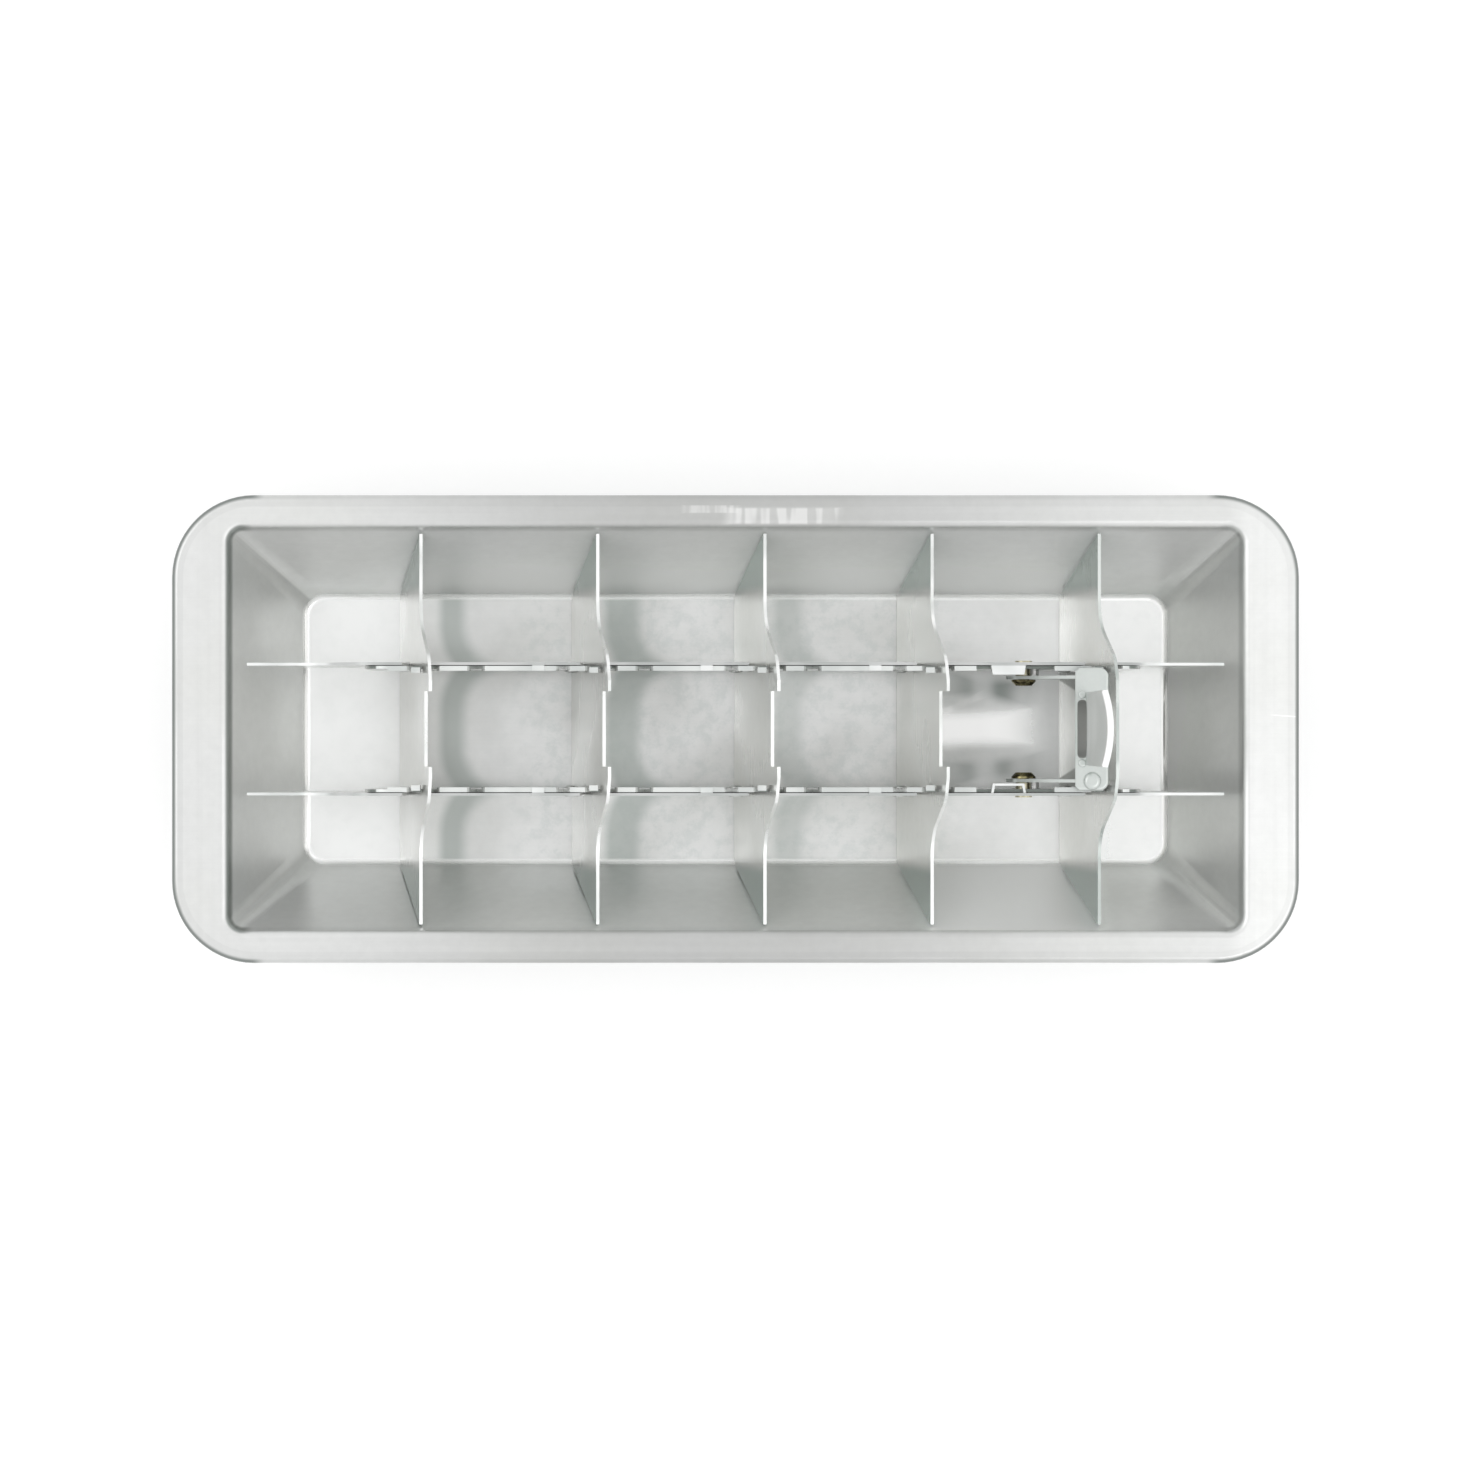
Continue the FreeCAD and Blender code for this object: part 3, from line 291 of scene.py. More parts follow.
@dataclass(frozen=True, kw_only=True)
class RolledAluminium:
    """Aluminium sheet, rolled and left with a satin skin.

    The rolling lines blur reflections along one direction, the slow waves bend them as thin
    sheet does, and the oxide bloom dulls it in soft patches, so it reads as used metal. The
    chalky part of the oxide scatters light, which keeps the leaning faces pale.
    """

    name: str
    clean: str = "#FAFBFA"  # freshly rubbed metal
    bloom: str = "#F4F5F3"  # under its oxide bloom
    smooth: float = 0.30  # roughness of the clean metal
    rough: float = 0.46  # and under the bloom
    grain: Grain = Grain.ALONG
    line_pitch: float = 0.5  # mm; real rolling lines are finer, drawn coarser so that they show
    line_depth: float = 0.0005  # mm
    line_shade: float = 0.35  # how much the lines add to the mottle
    line_dullness: float = 0.6  # how much they add to the bloom's roughness
    mottle_size: float = 2.6  # mm; a fine cloud that keeps the sheet from looking flat
    mottle: Fade = Fade(0.42, 0.94, 0.965, 1.02, eased=False)  # its levels, and the brightness left
    dull_levels: tuple[float, float] = (0.15, 1.45)  # bloom and lines together, from smooth to rough
    chalk: float = 0.20  # share of the bloomed skin that scatters light
    clean_chalk: float = 0.6  # how much of that share the clean skin has too
    bloom_size: float = 34.0  # mm
    bloom_patches: Fade = Fade(0.36, 0.68)  # levels of its noise, from clean to bloomed
    wave_size: float = 42.0  # mm
    wave_depth: float = 0.05  # mm
    hair_size: float = 1.1  # mm between fine scratches
    hair_depth: float = 0.0015  # mm
    hair_turns: tuple[float, float] = (0.5, 2.2)  # radians; the two ways that they run
    hair_stretch: tuple[float, float, float] = (0.03, 1.0, 1.0)  # as for a grain
    hair_lines: Fade = Fade(0.70, 0.80)  # levels of their noise that leave sparse lines

    def oxide_bloom(self, at: Place) -> Socket:
        """Spread the oxide bloom in soft patches.

        Args:
            at: Where the point lies.

        Returns:
            Zero on clean metal, one under the bloom.
        """
        cloud = add_node(
            at.tree, "ShaderNodeTexNoise", None,
            {"Vector": at.point, "Scale": 1 / self.bloom_size, "Detail": 2.5, "Roughness": 0.45},
        )
        return self.bloom_patches.of(cloud.outputs["Fac"])

    def rolling_lines(self, at: Place) -> Socket:
        """Draw the fine streaks that the rolls left.

        Args:
            at: Where the point lies.

        Returns:
            How strong the streaks are.
        """
        stretched = add_node(
            at.tree, "ShaderNodeMapping", None, {"Vector": at.point, "Scale": self.grain.value}
        )
        lines = add_node(
            at.tree, "ShaderNodeTexNoise", None,
            {"Vector": stretched.outputs[0], "Scale": 1 / self.line_pitch, "Detail": 2.0},
        )
        return lines.outputs["Fac"]

    def fine_scratches(self, at: Place) -> Socket:
        """Draw sparse hairlines from scouring, in two crossing directions.

        Args:
            at: Where the point lies.

        Returns:
            One on a hairline, zero elsewhere.
        """
        pair = []
        for turn in self.hair_turns:
            turned = add_node(
                at.tree, "ShaderNodeMapping", None,
                {"Vector": at.point, "Rotation": (turn, turn / 2, turn), "Scale": self.hair_stretch},
            )
            streaks = add_node(
                at.tree, "ShaderNodeTexNoise", None,
                {"Vector": turned.outputs[0], "Scale": 1 / self.hair_size, "Detail": 0.0},
            )
            pair.append(self.hair_lines.of(streaks.outputs["Fac"]))
        both = add_node(at.tree, "ShaderNodeMath", {"operation": "MAXIMUM"}, {0: pair[0], 1: pair[1]})
        return both.outputs[0]

    def skin(self, at: Place, bloom: Socket, lines: Socket) -> Skin:
        """Colour and roughen the metal: clean or bloomed, finely mottled, dull in the lines.

        Args:
            at: Where the point lies.
            bloom: How bloomed it is there.
            lines: How strong the rolling lines are.

        Returns:
            The plain sheet's skin.
        """
        cloud = add_node(
            at.tree, "ShaderNodeTexNoise", None,
            {"Vector": at.point, "Scale": 1 / self.mottle_size, "Detail": 4.0, "Roughness": 0.6},
        )
        grain = add_node(
            at.tree, "ShaderNodeMath", {"operation": "MULTIPLY_ADD"},
            {0: lines, 1: self.line_shade, 2: cloud.outputs["Fac"]},
        )
        shade = self.mottle.of(grain.outputs[0])
        mixed = add_node(
            at.tree, "ShaderNodeMath", {"operation": "MULTIPLY_ADD"},
            {0: lines, 1: self.line_dullness, 2: bloom},
        )
        dull = Fade(*self.dull_levels, self.smooth, self.rough, eased=False).of(mixed.outputs[0])
        return Skin(laid_over(self.clean, bloom, self.bloom), dull).shaded(shade)

    def relief(self, at: Place, lines: Socket) -> Socket:
        """Raise the surface: slow waves, then rolling lines, then scratches.

        Args:
            at: Where the point lies.
            lines: How strong the rolling lines are.

        Returns:
            The normal.
        """
        swell = add_node(
            at.tree, "ShaderNodeTexNoise", None,
            {"Vector": at.point, "Scale": 1 / self.wave_size, "Detail": 0.5},
        )
        layers = (
            (swell.outputs["Fac"], self.wave_depth),
            (lines, self.line_depth),
            (self.fine_scratches(at), -self.hair_depth),
        )
        normal = None
        for height, depth in layers:
            feeds = {"Height": height, "Strength": 1.0, "Distance": abs(depth) * MM}
            if normal is not None:
                feeds["Normal"] = normal
            normal = add_node(at.tree, "ShaderNodeBump", {"invert": depth < 0}, feeds).outputs[0]
        return normal

    def metalness(self, at: Place, bloom: Socket) -> Socket:
        """Return the share of bare metal: less under the bloom, whose chalk scatters light."""
        return Fade(0.0, 1.0, 1.0 - self.chalk * self.clean_chalk, 1.0 - self.chalk).of(bloom)

    def marked(self, at: Place, skin: Skin) -> Skin:
        """Return the skin with this piece's own marks; plain sheet has none."""
        return skin

    def material(self) -> bpy.types.Material:
        """Build the finish.

        Returns:
            The material.
        """
        material = new_material(self.name)
        at = Place.on_piece(material.node_tree)
        bloom, lines = self.oxide_bloom(at), self.rolling_lines(at)
        skin = self.marked(at, self.skin(at, bloom, lines))
        shader = add_node(
            at.tree, "ShaderNodeBsdfPrincipled", None,
            {
                "Base Color": skin.tint, "Roughness": skin.dull,
                "Metallic": self.metalness(at, bloom), "Normal": self.relief(at, lines),
            },
        )
        add_node(at.tree, "ShaderNodeOutputMaterial", None, {"Surface": shader.outputs[0]})
        return material


@dataclass(frozen=True, kw_only=True)
class ShearedAluminium(RolledAluminium):
    """Rolled aluminium cut to shape, with bright rubbed top edges and grey notches.

    The rubbed edges draw the thin white lines of the grid, brighter in some stretches than in
    others. Below the rubbed level the cut edges get a painted shade, so that the notches
    read as dark gaps in those lines.
    """

    edge: str  # rubbed edge
    worn: str  # edge that lost its shine
    wear_size: float = 17.0  # mm
    wear_patches: Fade = Fade(0.38, 0.56)  # levels of its noise, from worn to shiny
    edges: Fade = Fade(0.35, 0.75)  # how far a face looks up, from a side to a cut edge
    notch_shade: str = "#8F9592"  # painted shade on the cut edges below the rubbed level, in the notches
    rubbed: Fade = Fade(-0.25, 0.0)  # mm up; cut edges below it get the painted shade
    duller: Fade = Fade(-4.0, 0.0, 1.0, 0.0)  # mm from the middle; the edges are duller before it
    duller_outside: Fade = Fade(15.6, 15.7)  # mm across; tabs and hats inside it stay bright
    lost: float = 0.0  # share of the edges' brightness that is lost where they are duller

    def marked(self, at: Place, skin: Skin) -> Skin:
        """Brighten the cut edges where the sheet faces up, and paint shade on those in the notches.

        Args:
            at: Where the point lies.
            skin: The plain sheet's skin.

        Returns:
            The skin with its edges.
        """
        wear = add_node(
            at.tree, "ShaderNodeTexNoise", None,
            {"Vector": at.point, "Scale": 1 / self.wear_size, "Detail": 2.0},
        )
        edge = Skin(laid_over(self.worn, self.wear_patches.of(wear.outputs["Fac"]), self.edge), skin.dull)
        dim = together(self.duller.of(at.off_along), self.duller_outside.of(at.off_across))
        edge = edge.shaded(left_after(self.lost, dim))
        # painted shade on the cut edges in the notches, below the rubbed level
        cut = laid_over(self.notch_shade, self.rubbed.of(at.height), edge.tint)
        return skin.covered(self.edges.of(at.facing_up), cut)


@dataclass(frozen=True, kw_only=True)
class DividerAluminium(ShearedAluminium):
    """Sheared aluminium of the cross dividers, duller towards the far end of the tray.

    Painted shadow lies where the lever's bridge and shoulders shade the divider behind them,
    so the bridge's slot shows dark.
    """

    far_end_shade: Fade = Fade(-100.0, 0.0, 0.76, 1.0)  # mm along; painted shade, what is left of the brightness
    wings: Fade = Fade(33.5, 36.5)  # mm across; beyond it the wings get a painted shade
    wing_shade: str = "#D5DEDA"
    behind_lever: Fade = Fade(79.0, 80.0)  # mm along; the lever hides only the divider there
    # painted shadow seen through the lever's bridge slot
    slot_shadow: str = "#5F615C"
    slot_ends: Fade = Fade(6.8, 8.0, 0.85, 0.0)  # mm across; the bridge's slot
    slot_foot: Fade = Fade(15.9, 16.9)  # mm up; what the slot shows of the divider
    slot_top: Fade = Fade(28.4, 29.4, 1.0, 0.0)
    # painted shadow beside the lever's shoulders
    shoulder_shadow: str = "#8A8D89"
    shoulder_from: Fade = Fade(12.6, 13.4, 0.0, 0.8)  # mm across, at the divider's foot
    shoulder_slope: float = 0.20  # how fast the shoulders' shade widens with height
    shoulder_to: Fade = Fade(15.0, 15.4, 1.0, 0.0)  # mm across; it ends at the slide plates
    shoulder_top: Fade = Fade(29.0, 31.0, 1.0, 0.0)  # mm up

    def painted_slot_shadow(self, at: Place) -> Socket:
        """Return where the painted shadow fills the sight through the bridge's slot."""
        return together(
            self.slot_foot.of(at.height), self.slot_top.of(at.height), self.slot_ends.of(at.off_across)
        )

    def painted_shoulder_shadow(self, at: Place) -> Socket:
        """Paint shadow on the skin beside the lever's shoulders, wider towards the top.

        Args:
            at: Where the point lies.

        Returns:
            How deep the shade is.
        """
        reach = add_node(
            at.tree, "ShaderNodeMath", {"operation": "MULTIPLY_ADD"},
            {0: at.height, 1: self.shoulder_slope, 2: at.off_across},
        )
        return together(
            self.shoulder_from.of(reach.outputs[0]),
            self.shoulder_to.of(at.off_across), self.shoulder_top.of(at.height),
        )

    def marked(self, at: Place, skin: Skin) -> Skin:
        """Paint shade on the wings and the far dividers and shadow on the one behind the lever, then cut
        the edges.

        Args:
            at: Where the point lies.
            skin: The plain sheet's skin.

        Returns:
            The divider's skin.
        """
        behind = self.behind_lever.of(at.along)
        # painted shade on the wings and towards the far end
        skin = skin.covered(self.wings.of(at.off_across), self.wing_shade).shaded(self.far_end_shade.of(at.along))
        # painted shadow of the lever's bridge and shoulders on the divider behind them
        skin = skin.covered(together(behind, self.painted_slot_shadow(at)), self.slot_shadow)
        skin = skin.covered(together(behind, self.painted_shoulder_shadow(at)), self.shoulder_shadow)
        return super().marked(at, skin)


@dataclass(frozen=True)
class Outline:
    """A rounded rectangle about the middle of the pan, in millimetres."""

    half_x: float
    half_y: float
    corner: float

    def inset(self, at: Place) -> Socket:
        """Measure how far inside the outline a point lies.

        Args:
            at: Where the point lies.

        Returns:
            The distance in millimetres, which stops growing at the corner's size.
        """
        core = (self.half_x - self.corner, self.half_y - self.corner, FLAT)
        past = add_node(
            at.tree, "ShaderNodeVectorMath", {"operation": "SUBTRACT"}, {0: at.unsigned, 1: core}
        )
        outside = add_node(
            at.tree, "ShaderNodeVectorMath", {"operation": "MAXIMUM"},
            {0: past.outputs[0], 1: (0.0, 0.0, 0.0)},
        )
        reach = add_node(
            at.tree, "ShaderNodeVectorMath", {"operation": "LENGTH"}, {0: outside.outputs[0]}
        )
        inset = add_node(
            at.tree, "ShaderNodeMath", {"operation": "SUBTRACT"},
            {0: self.corner, 1: reach.outputs["Value"]},
        )
        return inset.outputs[0]


RIM = Outline(140.0, 58.15, 20.5)
MOUTH = Outline(126.4, 50.5, 4.0)
FLOOR = Outline(110.3, 34.4, 5.5)


@dataclass(frozen=True)
class Crease:
    """A line of painted highlight or painted shade that follows an outline, in millimetres."""

    outline: Outline
    inset: float
    half_width: float
    colour: str
    strength: float
    on_sides: float = 1.0  # share of the strength along the long sides
    near_end: float = 1.0  # share of it at the lever's end
    polish: float = 0.0  # share of the roughness that the press took away
    full_within: float = 0.4  # share of the half width that has the whole strength
    gone_past: float = 1.3  # and where nothing is left
    side_turn: tuple[float, float] = (-3.0, 1.0)  # where the sides' share ends, from the corner

    def cover(self, at: Place) -> Socket:
        """Place the line, with soft sides.

        Args:
            at: Where the point lies.

        Returns:
            How strong the line is.
        """
        away = add_node(
            at.tree, "ShaderNodeMath", {"operation": "SUBTRACT"},
            {0: self.outline.inset(at), 1: self.inset},
        )
        near = add_node(at.tree, "ShaderNodeMath", {"operation": "ABSOLUTE"}, {0: away.outputs[0]})
        end = self.outline.half_x - self.outline.corner
        before, past = self.side_turn
        line = Fade(
            self.half_width * self.full_within, self.half_width * self.gone_past, self.strength, 0.0
        )
        return together(
            line.of(near.outputs[0]),
            Fade(end + before, end + past, self.on_sides, 1.0).of(at.off_along),
            Fade(-end, end, 1.0, self.near_end).of(at.along),
        )


@dataclass(frozen=True)
class Stroke:
    """One mark on the pan's skin, in millimetres and degrees: a rubbed mark on the flange, a painted
    reflection streak on the floor.
    """

    x: float
    y: float
    length: float
    width: float
    turn: float
    strength: float
    break_size: float  # mm; how coarsely the mark breaks up along its length
    colour: str = "#FDFDFC"
    soft_from: float = 0.7  # share of the half size where the mark begins to fade
    polish: float = 0.0  # share of the roughness that the rubbing took away
    breaks: Fade = Fade(0.38, 0.56, 0.25, 1.0)  # levels of the noise that breaks it up
    break_stretch: tuple[float, float, float] = (1.0, 0.12, 0.0)  # the breaks run across the tray

    def cover(self, at: Place) -> Socket:
        """Place the mark, with soft ends and a broken middle.

        Args:
            at: Where the point lies.

        Returns:
            How strong the mark is.
        """
        moved = add_node(
            at.tree, "ShaderNodeMapping", {"vector_type": "TEXTURE"},
            {
                "Vector": at.point,
                "Location": (self.x, self.y, 0.0),
                "Rotation": (0.0, 0.0, math.radians(self.turn)),
                "Scale": (self.length / 2, self.width / 2, FLAT),
            },
        )
        unsigned = add_node(
            at.tree, "ShaderNodeVectorMath", {"operation": "ABSOLUTE"}, {0: moved.outputs[0]}
        )
        axes = add_node(at.tree, "ShaderNodeSeparateXYZ", None, {0: unsigned.outputs[0]})
        edge = add_node(
            at.tree, "ShaderNodeMath", {"operation": "MAXIMUM"},
            {0: axes.outputs["X"], 1: axes.outputs["Y"]},
        )
        squeezed = add_node(
            at.tree, "ShaderNodeMapping", None, {"Vector": at.point, "Scale": self.break_stretch}
        )
        blocks = add_node(
            at.tree, "ShaderNodeTexNoise", None,
            {"Vector": squeezed.outputs[0], "Scale": 1 / self.break_size, "Detail": 1.0},
        )
        return together(
            Fade(self.soft_from, 1.0, self.strength, 0.0).of(edge.outputs[0]),
            self.breaks.of(blocks.outputs["Fac"]),
        )


@dataclass(frozen=True)
class PaintedShadeBand:
    """A band of painted shade on the pan's floor beside a divider.

    The lighter middle of the cell ends against it in a rounded outline, in millimetres.
    """

    lighter_from: float  # where the lighter middle begins, along the tray
    strength: float
    width: float
    plates_at: float = 15.7  # distance of the long plates from the middle
    round_size: float = 11.0
    softness: float = 2.2
    begin_softness: float = 1.0
    trail: tuple[float, float] = (4.0, 14.0)  # past lighter_from; the band thins out between them
    trail_left: float = 0.35  # share of the band past its trail

    def corner_distance(self, at: Place) -> Socket:
        """Measure how far a point lies from the middle of the outline's rounding.

        Args:
            at: Where the point lies.

        Returns:
            The distance in millimetres, zero inside the rubbed middle.
        """
        past = add_node(
            at.tree, "ShaderNodeMath", {"operation": "SUBTRACT"},
            {0: self.lighter_from + self.round_size, 1: at.along},
        )
        gap = add_node(
            at.tree, "ShaderNodeMath", {"operation": "SUBTRACT"}, {0: at.off_across, 1: self.plates_at}
        )
        beside = add_node(at.tree, "ShaderNodeMath", {"operation": "ABSOLUTE"}, {0: gap.outputs[0]})
        near = add_node(
            at.tree, "ShaderNodeMath", {"operation": "SUBTRACT"},
            {0: self.round_size, 1: beside.outputs[0]},
        )
        corner = add_node(
            at.tree, "ShaderNodeCombineXYZ", None, {"X": past.outputs[0], "Y": near.outputs[0]}
        )
        kept = add_node(
            at.tree, "ShaderNodeVectorMath", {"operation": "MAXIMUM"},
            {0: corner.outputs[0], 1: (0.0, 0.0, 0.0)},
        )
        reach = add_node(at.tree, "ShaderNodeVectorMath", {"operation": "LENGTH"}, {0: kept.outputs[0]})
        return reach.outputs["Value"]

    def cover(self, at: Place) -> Socket:
        """Place the band.

        Args:
            at: Where the point lies.

        Returns:
            How strong the band is.
        """
        reach = self.corner_distance(at)
        outer = self.round_size + self.width
        start, stop = (self.lighter_from + distance for distance in self.trail)
        inner_edge = Fade(
            self.round_size - self.softness, self.round_size + self.softness, 0.0, self.strength
        )
        return together(
            inner_edge.of(reach),
            Fade(outer - self.begin_softness, outer + self.softness, 1.0, 0.0).of(reach),
            Fade(start, stop, 1.0, self.trail_left).of(at.along),
        )


def past_fold(at: Place) -> Socket:
    """Measure how far a wall point lies past the corner's fold, on the end wall's side.

    Args:
        at: Where the point lies.

    Returns:
        The distance in millimetres, below zero on the long walls.
    """
    apart = add_node(
        at.tree, "ShaderNodeMath", {"operation": "SUBTRACT"}, {0: at.off_along, 1: at.off_across}
    )
    past = add_node(
        at.tree, "ShaderNodeMath", {"operation": "SUBTRACT"},
        {0: apart.outputs[0], 1: FLOOR.half_x - FLOOR.half_y},
    )
    return past.outputs[0]


@dataclass(frozen=True)
class PaintedWallShade:
    """Painted light and shade on the pan's walls, with its places in millimetres."""

    ends: Fade = Fade(-FLOOR.half_x, FLOOR.half_x, 0.91, 1.14)  # along, from far wall to lever's wall
    lever_wall: Fade = Fade(FLOOR.half_x, MOUTH.half_x, 1.0, 0.76)  # along; from floor to mouth
    back_corners: Fade = Fade(6.0, 40.0, 1.0, 0.84)  # across; the ends beside the back wall
    front_corners: Fade = Fade(-40.0, -6.0, 0.86, 1.0)  # and beside the front wall
    back_foot: Fade = Fade(70.0, 100.0, 1.26, 1.0)  # from the middle; the back wall beside the floor
    back_lip: float = 0.75  # and under the mouth
    lever_cell: tuple[Fade, Fade] = (Fade(40.0, 52.0), Fade(86.0, 98.0, 1.0, 0.0))  # along
    front_lit_share: Fade = Fade(0.0, 1.0, 0.96, 1.15)  # painted light on the front wall in that cell
    front_far: Fade = Fade(-90.0, -70.0, 0.88, 1.0)  # along; the front wall's far end
    fold: Fade = Fade(-0.8, 0.4)  # past the fold; from a long wall to an end wall

    def long_walls(self, at: Place) -> Socket:
        """Shade the front and back walls.

        Args:
            at: Where the point lies.

        Returns:
            The share of the brightness.
        """
        back = Fade(FLOOR.half_y, MOUTH.half_y, self.back_foot.of(at.off_along), self.back_lip)
        start, stop = self.lever_cell
        # the front wall is painted lighter in the lever's cell
        rubbed = self.front_lit_share.of(together(start.of(at.along), stop.of(at.along)))
        front = together(rubbed, self.front_far.of(at.along))
        return Fade(-FLOOR.half_y, 0.0, front, back.of(at.across)).of(at.across)

    def shade(self, at: Place) -> Socket:
        """Shade all the walls.

        Args:
            at: Where the point lies.

        Returns:
            The share of the brightness.
        """
        end_walls = together(
            self.ends.of(at.along), self.lever_wall.of(at.along),
            self.back_corners.of(at.across), self.front_corners.of(at.across),
        )
        shade = add_node(
            at.tree, "ShaderNodeMix", {"data_type": "FLOAT"},
            {"Factor": self.fold.of(past_fold(at)), 2: self.long_walls(at), 3: end_walls},
        )
        return shade.outputs[0]


@dataclass(frozen=True)
class Flange:
    """The flange and its rolled edge, buffed along the rim, with its places in millimetres."""

    level: Fade = Fade(36.4, 37.4)  # up; above it the skin is buffed along the rim
    ends: Fade = Fade(121.0, 129.0)  # from the middle; past it the streaks turn across
    streak_size: float = 1.6
    streaks: Fade = Fade(0.35, 0.68, 1.005, 0.978)  # levels of their noise
    # painted light and shade along the flange: its sides are darker than its ends, and the brightness
    # changes along the tray
    end_shade: Fade = Fade(-121.0, 121.0, 0.79, 0.89)  # along
    side_shade: Fade = Fade(10.0, 118.0, 0.57, 0.78)  # along; painted shade, darker than the ends
    far_side_shade: Fade = Fade(-118.0, -20.0, 0.78 / 0.57, 1.0)  # along; share of the middle's
    rolled_edge: Fade = Fade(2.7, 3.1, 0.95, 1.0)  # in from the rim; the rolled edge is darker
    strokes: tuple[Stroke, ...] = (
        Stroke(135.9, 3.3, 7.2, 0.35, -4.0, 1.0, 3.0),
        Stroke(12.0, 52.9, 32.0, 4.6, 0.0, 0.45, 2.4),
        Stroke(-6.0, 54.6, 16.0, 2.2, 0.0, 0.30, 1.6),
    )

    def buffing(self, at: Place, on_ends: Socket) -> Socket:
        """Draw the buffing streaks, along the sides and across the ends.

        Args:
            at: Where the point lies.
            on_ends: One on the flange's ends, zero on its sides.

        Returns:
            The share of the brightness.
        """
        fields = []
        for grain in (Grain.ALONG, Grain.ACROSS):
            stretched = add_node(
                at.tree, "ShaderNodeMapping", None, {"Vector": at.point, "Scale": grain.value}
            )
            noise = add_node(
                at.tree, "ShaderNodeTexNoise", None,
                {"Vector": stretched.outputs[0], "Scale": 1 / self.streak_size, "Detail": 3.0},
            )
            fields.append(noise.outputs["Fac"])
        mixed = add_node(
            at.tree, "ShaderNodeMix", {"data_type": "FLOAT"},
            {"Factor": on_ends, 2: fields[0], 3: fields[1]},
        )
        return self.streaks.of(mixed.outputs[0])

    def shade(self, at: Place) -> Socket:
        """Paint shade on the flange along the tray, with its streaks and its darker rolled edge.

        Args:
            at: Where the point lies.

        Returns:
            The share of the brightness.
        """
        on_ends = self.ends.of(at.off_along)
        sides = together(self.side_shade.of(at.along), self.far_side_shade.of(at.along))
        smooth = add_node(
            at.tree, "ShaderNodeMix", {"data_type": "FLOAT"},
            {"Factor": on_ends, 2: sides, 3: self.end_shade.of(at.along)},
        )
        return together(
            self.buffing(at, on_ends), smooth.outputs[0], self.rolled_edge.of(RIM.inset(at))
        )


@dataclass(frozen=True)
class Floor:
    """The pan's floor: stained by meltwater, with painted light at its ends, bands of painted shade beside
    the dividers and painted reflection streaks below the lever, where it is also smoother.

    Its places are in millimetres.
    """

    level: Fade = Fade(1.0, 1.6, 1.0, 0.0)  # up; the floor lies below it
    shade: float = 0.82
    painted_end_light: Fade = Fade(62.0, 96.0, 0.0, 0.9)  # from the middle; painted light makes the ends brighter
    lit_ends: str = "#FAFBFA"
    polished: Fade = Fade(88.0, 98.0)  # along; the near end is also smoother
    polish: float = 0.40  # share of the roughness that is taken off there
    stain: str = "#C3CAC8"  # cloudy stains that meltwater left
    stain_size: float = 3.4
    stains: Fade = Fade(0.42, 0.66, 0.0, 0.36)  # levels of their noise
    dry: Fade = Fade(48.0, 62.0, 1.0, 0.15)  # from the middle; fewer stains towards the ends
    # painted shade of the bands beside the dividers
    band_shade: str = "#A7AFAB"
    bands: tuple[PaintedShadeBand, ...] = (
        PaintedShadeBand(-69.5, 0.68, 5.5),
        PaintedShadeBand(-24.6, 0.68, 8.0),
        PaintedShadeBand(17.0, 0.42, 6.5),
    )
    # painted reflections in the lever's cell: dark streaks at its sides and light ones down its middle,
    # which also smooth the floor where they lie
    reflection_streaks: tuple[Stroke, ...] = (
        Stroke(64.0, 10.6, 30.0, 8.5, -7.0, 0.85, 14.0, "#7F8884", 0.1),
        Stroke(66.0, -10.4, 32.0, 8.0, 6.0, 0.75, 14.0, "#7F8884", 0.1),
        Stroke(60.0, 0.2, 46.0, 13.0, 2.0, 1.0, 40.0, soft_from=0.2, polish=0.65),
        Stroke(58.0, 6.5, 16.0, 2.6, 24.0, 0.7, 9.0, soft_from=0.1, polish=0.5),
    )

    def shade_bands(self, at: Place) -> Socket:
        """Lay out the bands of painted shade beside the dividers.

        Args:
            at: Where the point lies.

        Returns:
            How strong the painted shade is.
        """
        strongest, *others = (band.cover(at) for band in self.bands)
        for cover in others:
            strongest = add_node(
                at.tree, "ShaderNodeMath", {"operation": "MAXIMUM"}, {0: strongest, 1: cover}
            ).outputs[0]
        return strongest

    def stained_and_lit(self, at: Place, skin: Skin) -> Skin:
        """Paint light on the floor's ends, stain the rest and lay the bands of painted shade.

        Args:
            at: Where the point lies.
            skin: The plain sheet's skin.

        Returns:
            The floor's skin.
        """
        cloud = add_node(
            at.tree, "ShaderNodeTexNoise", None,
            {"Vector": at.point, "Scale": 1 / self.stain_size, "Detail": 5.0, "Roughness": 0.65},
        )
        stained = together(self.stains.of(cloud.outputs["Fac"]), self.dry.of(at.off_along))
        # painted light on the floor's ends
        lit_ends = skin.shaded(self.shade).covered(self.painted_end_light.of(at.off_along), self.lit_ends)
        return lit_ends.covered(stained, self.stain).covered(self.shade_bands(at), self.band_shade)

    def rubbed(self, at: Place, skin: Skin, on_floor: Socket) -> Skin:
        """Paint reflection streaks below the lever, smooth the floor under the light ones, and smooth its
        near end.

        Args:
            at: Where the point lies.
            skin: The pan's skin.
            on_floor: One on the floor, zero elsewhere.

        Returns:
            The skin after it.
        """
        for streak in self.reflection_streaks:
            cover = together(on_floor, streak.cover(at))
            skin = skin.covered(cover, streak.colour).polished(cover, streak.polish)
        return skin.polished(together(on_floor, self.polished.of(at.along)), self.polish)


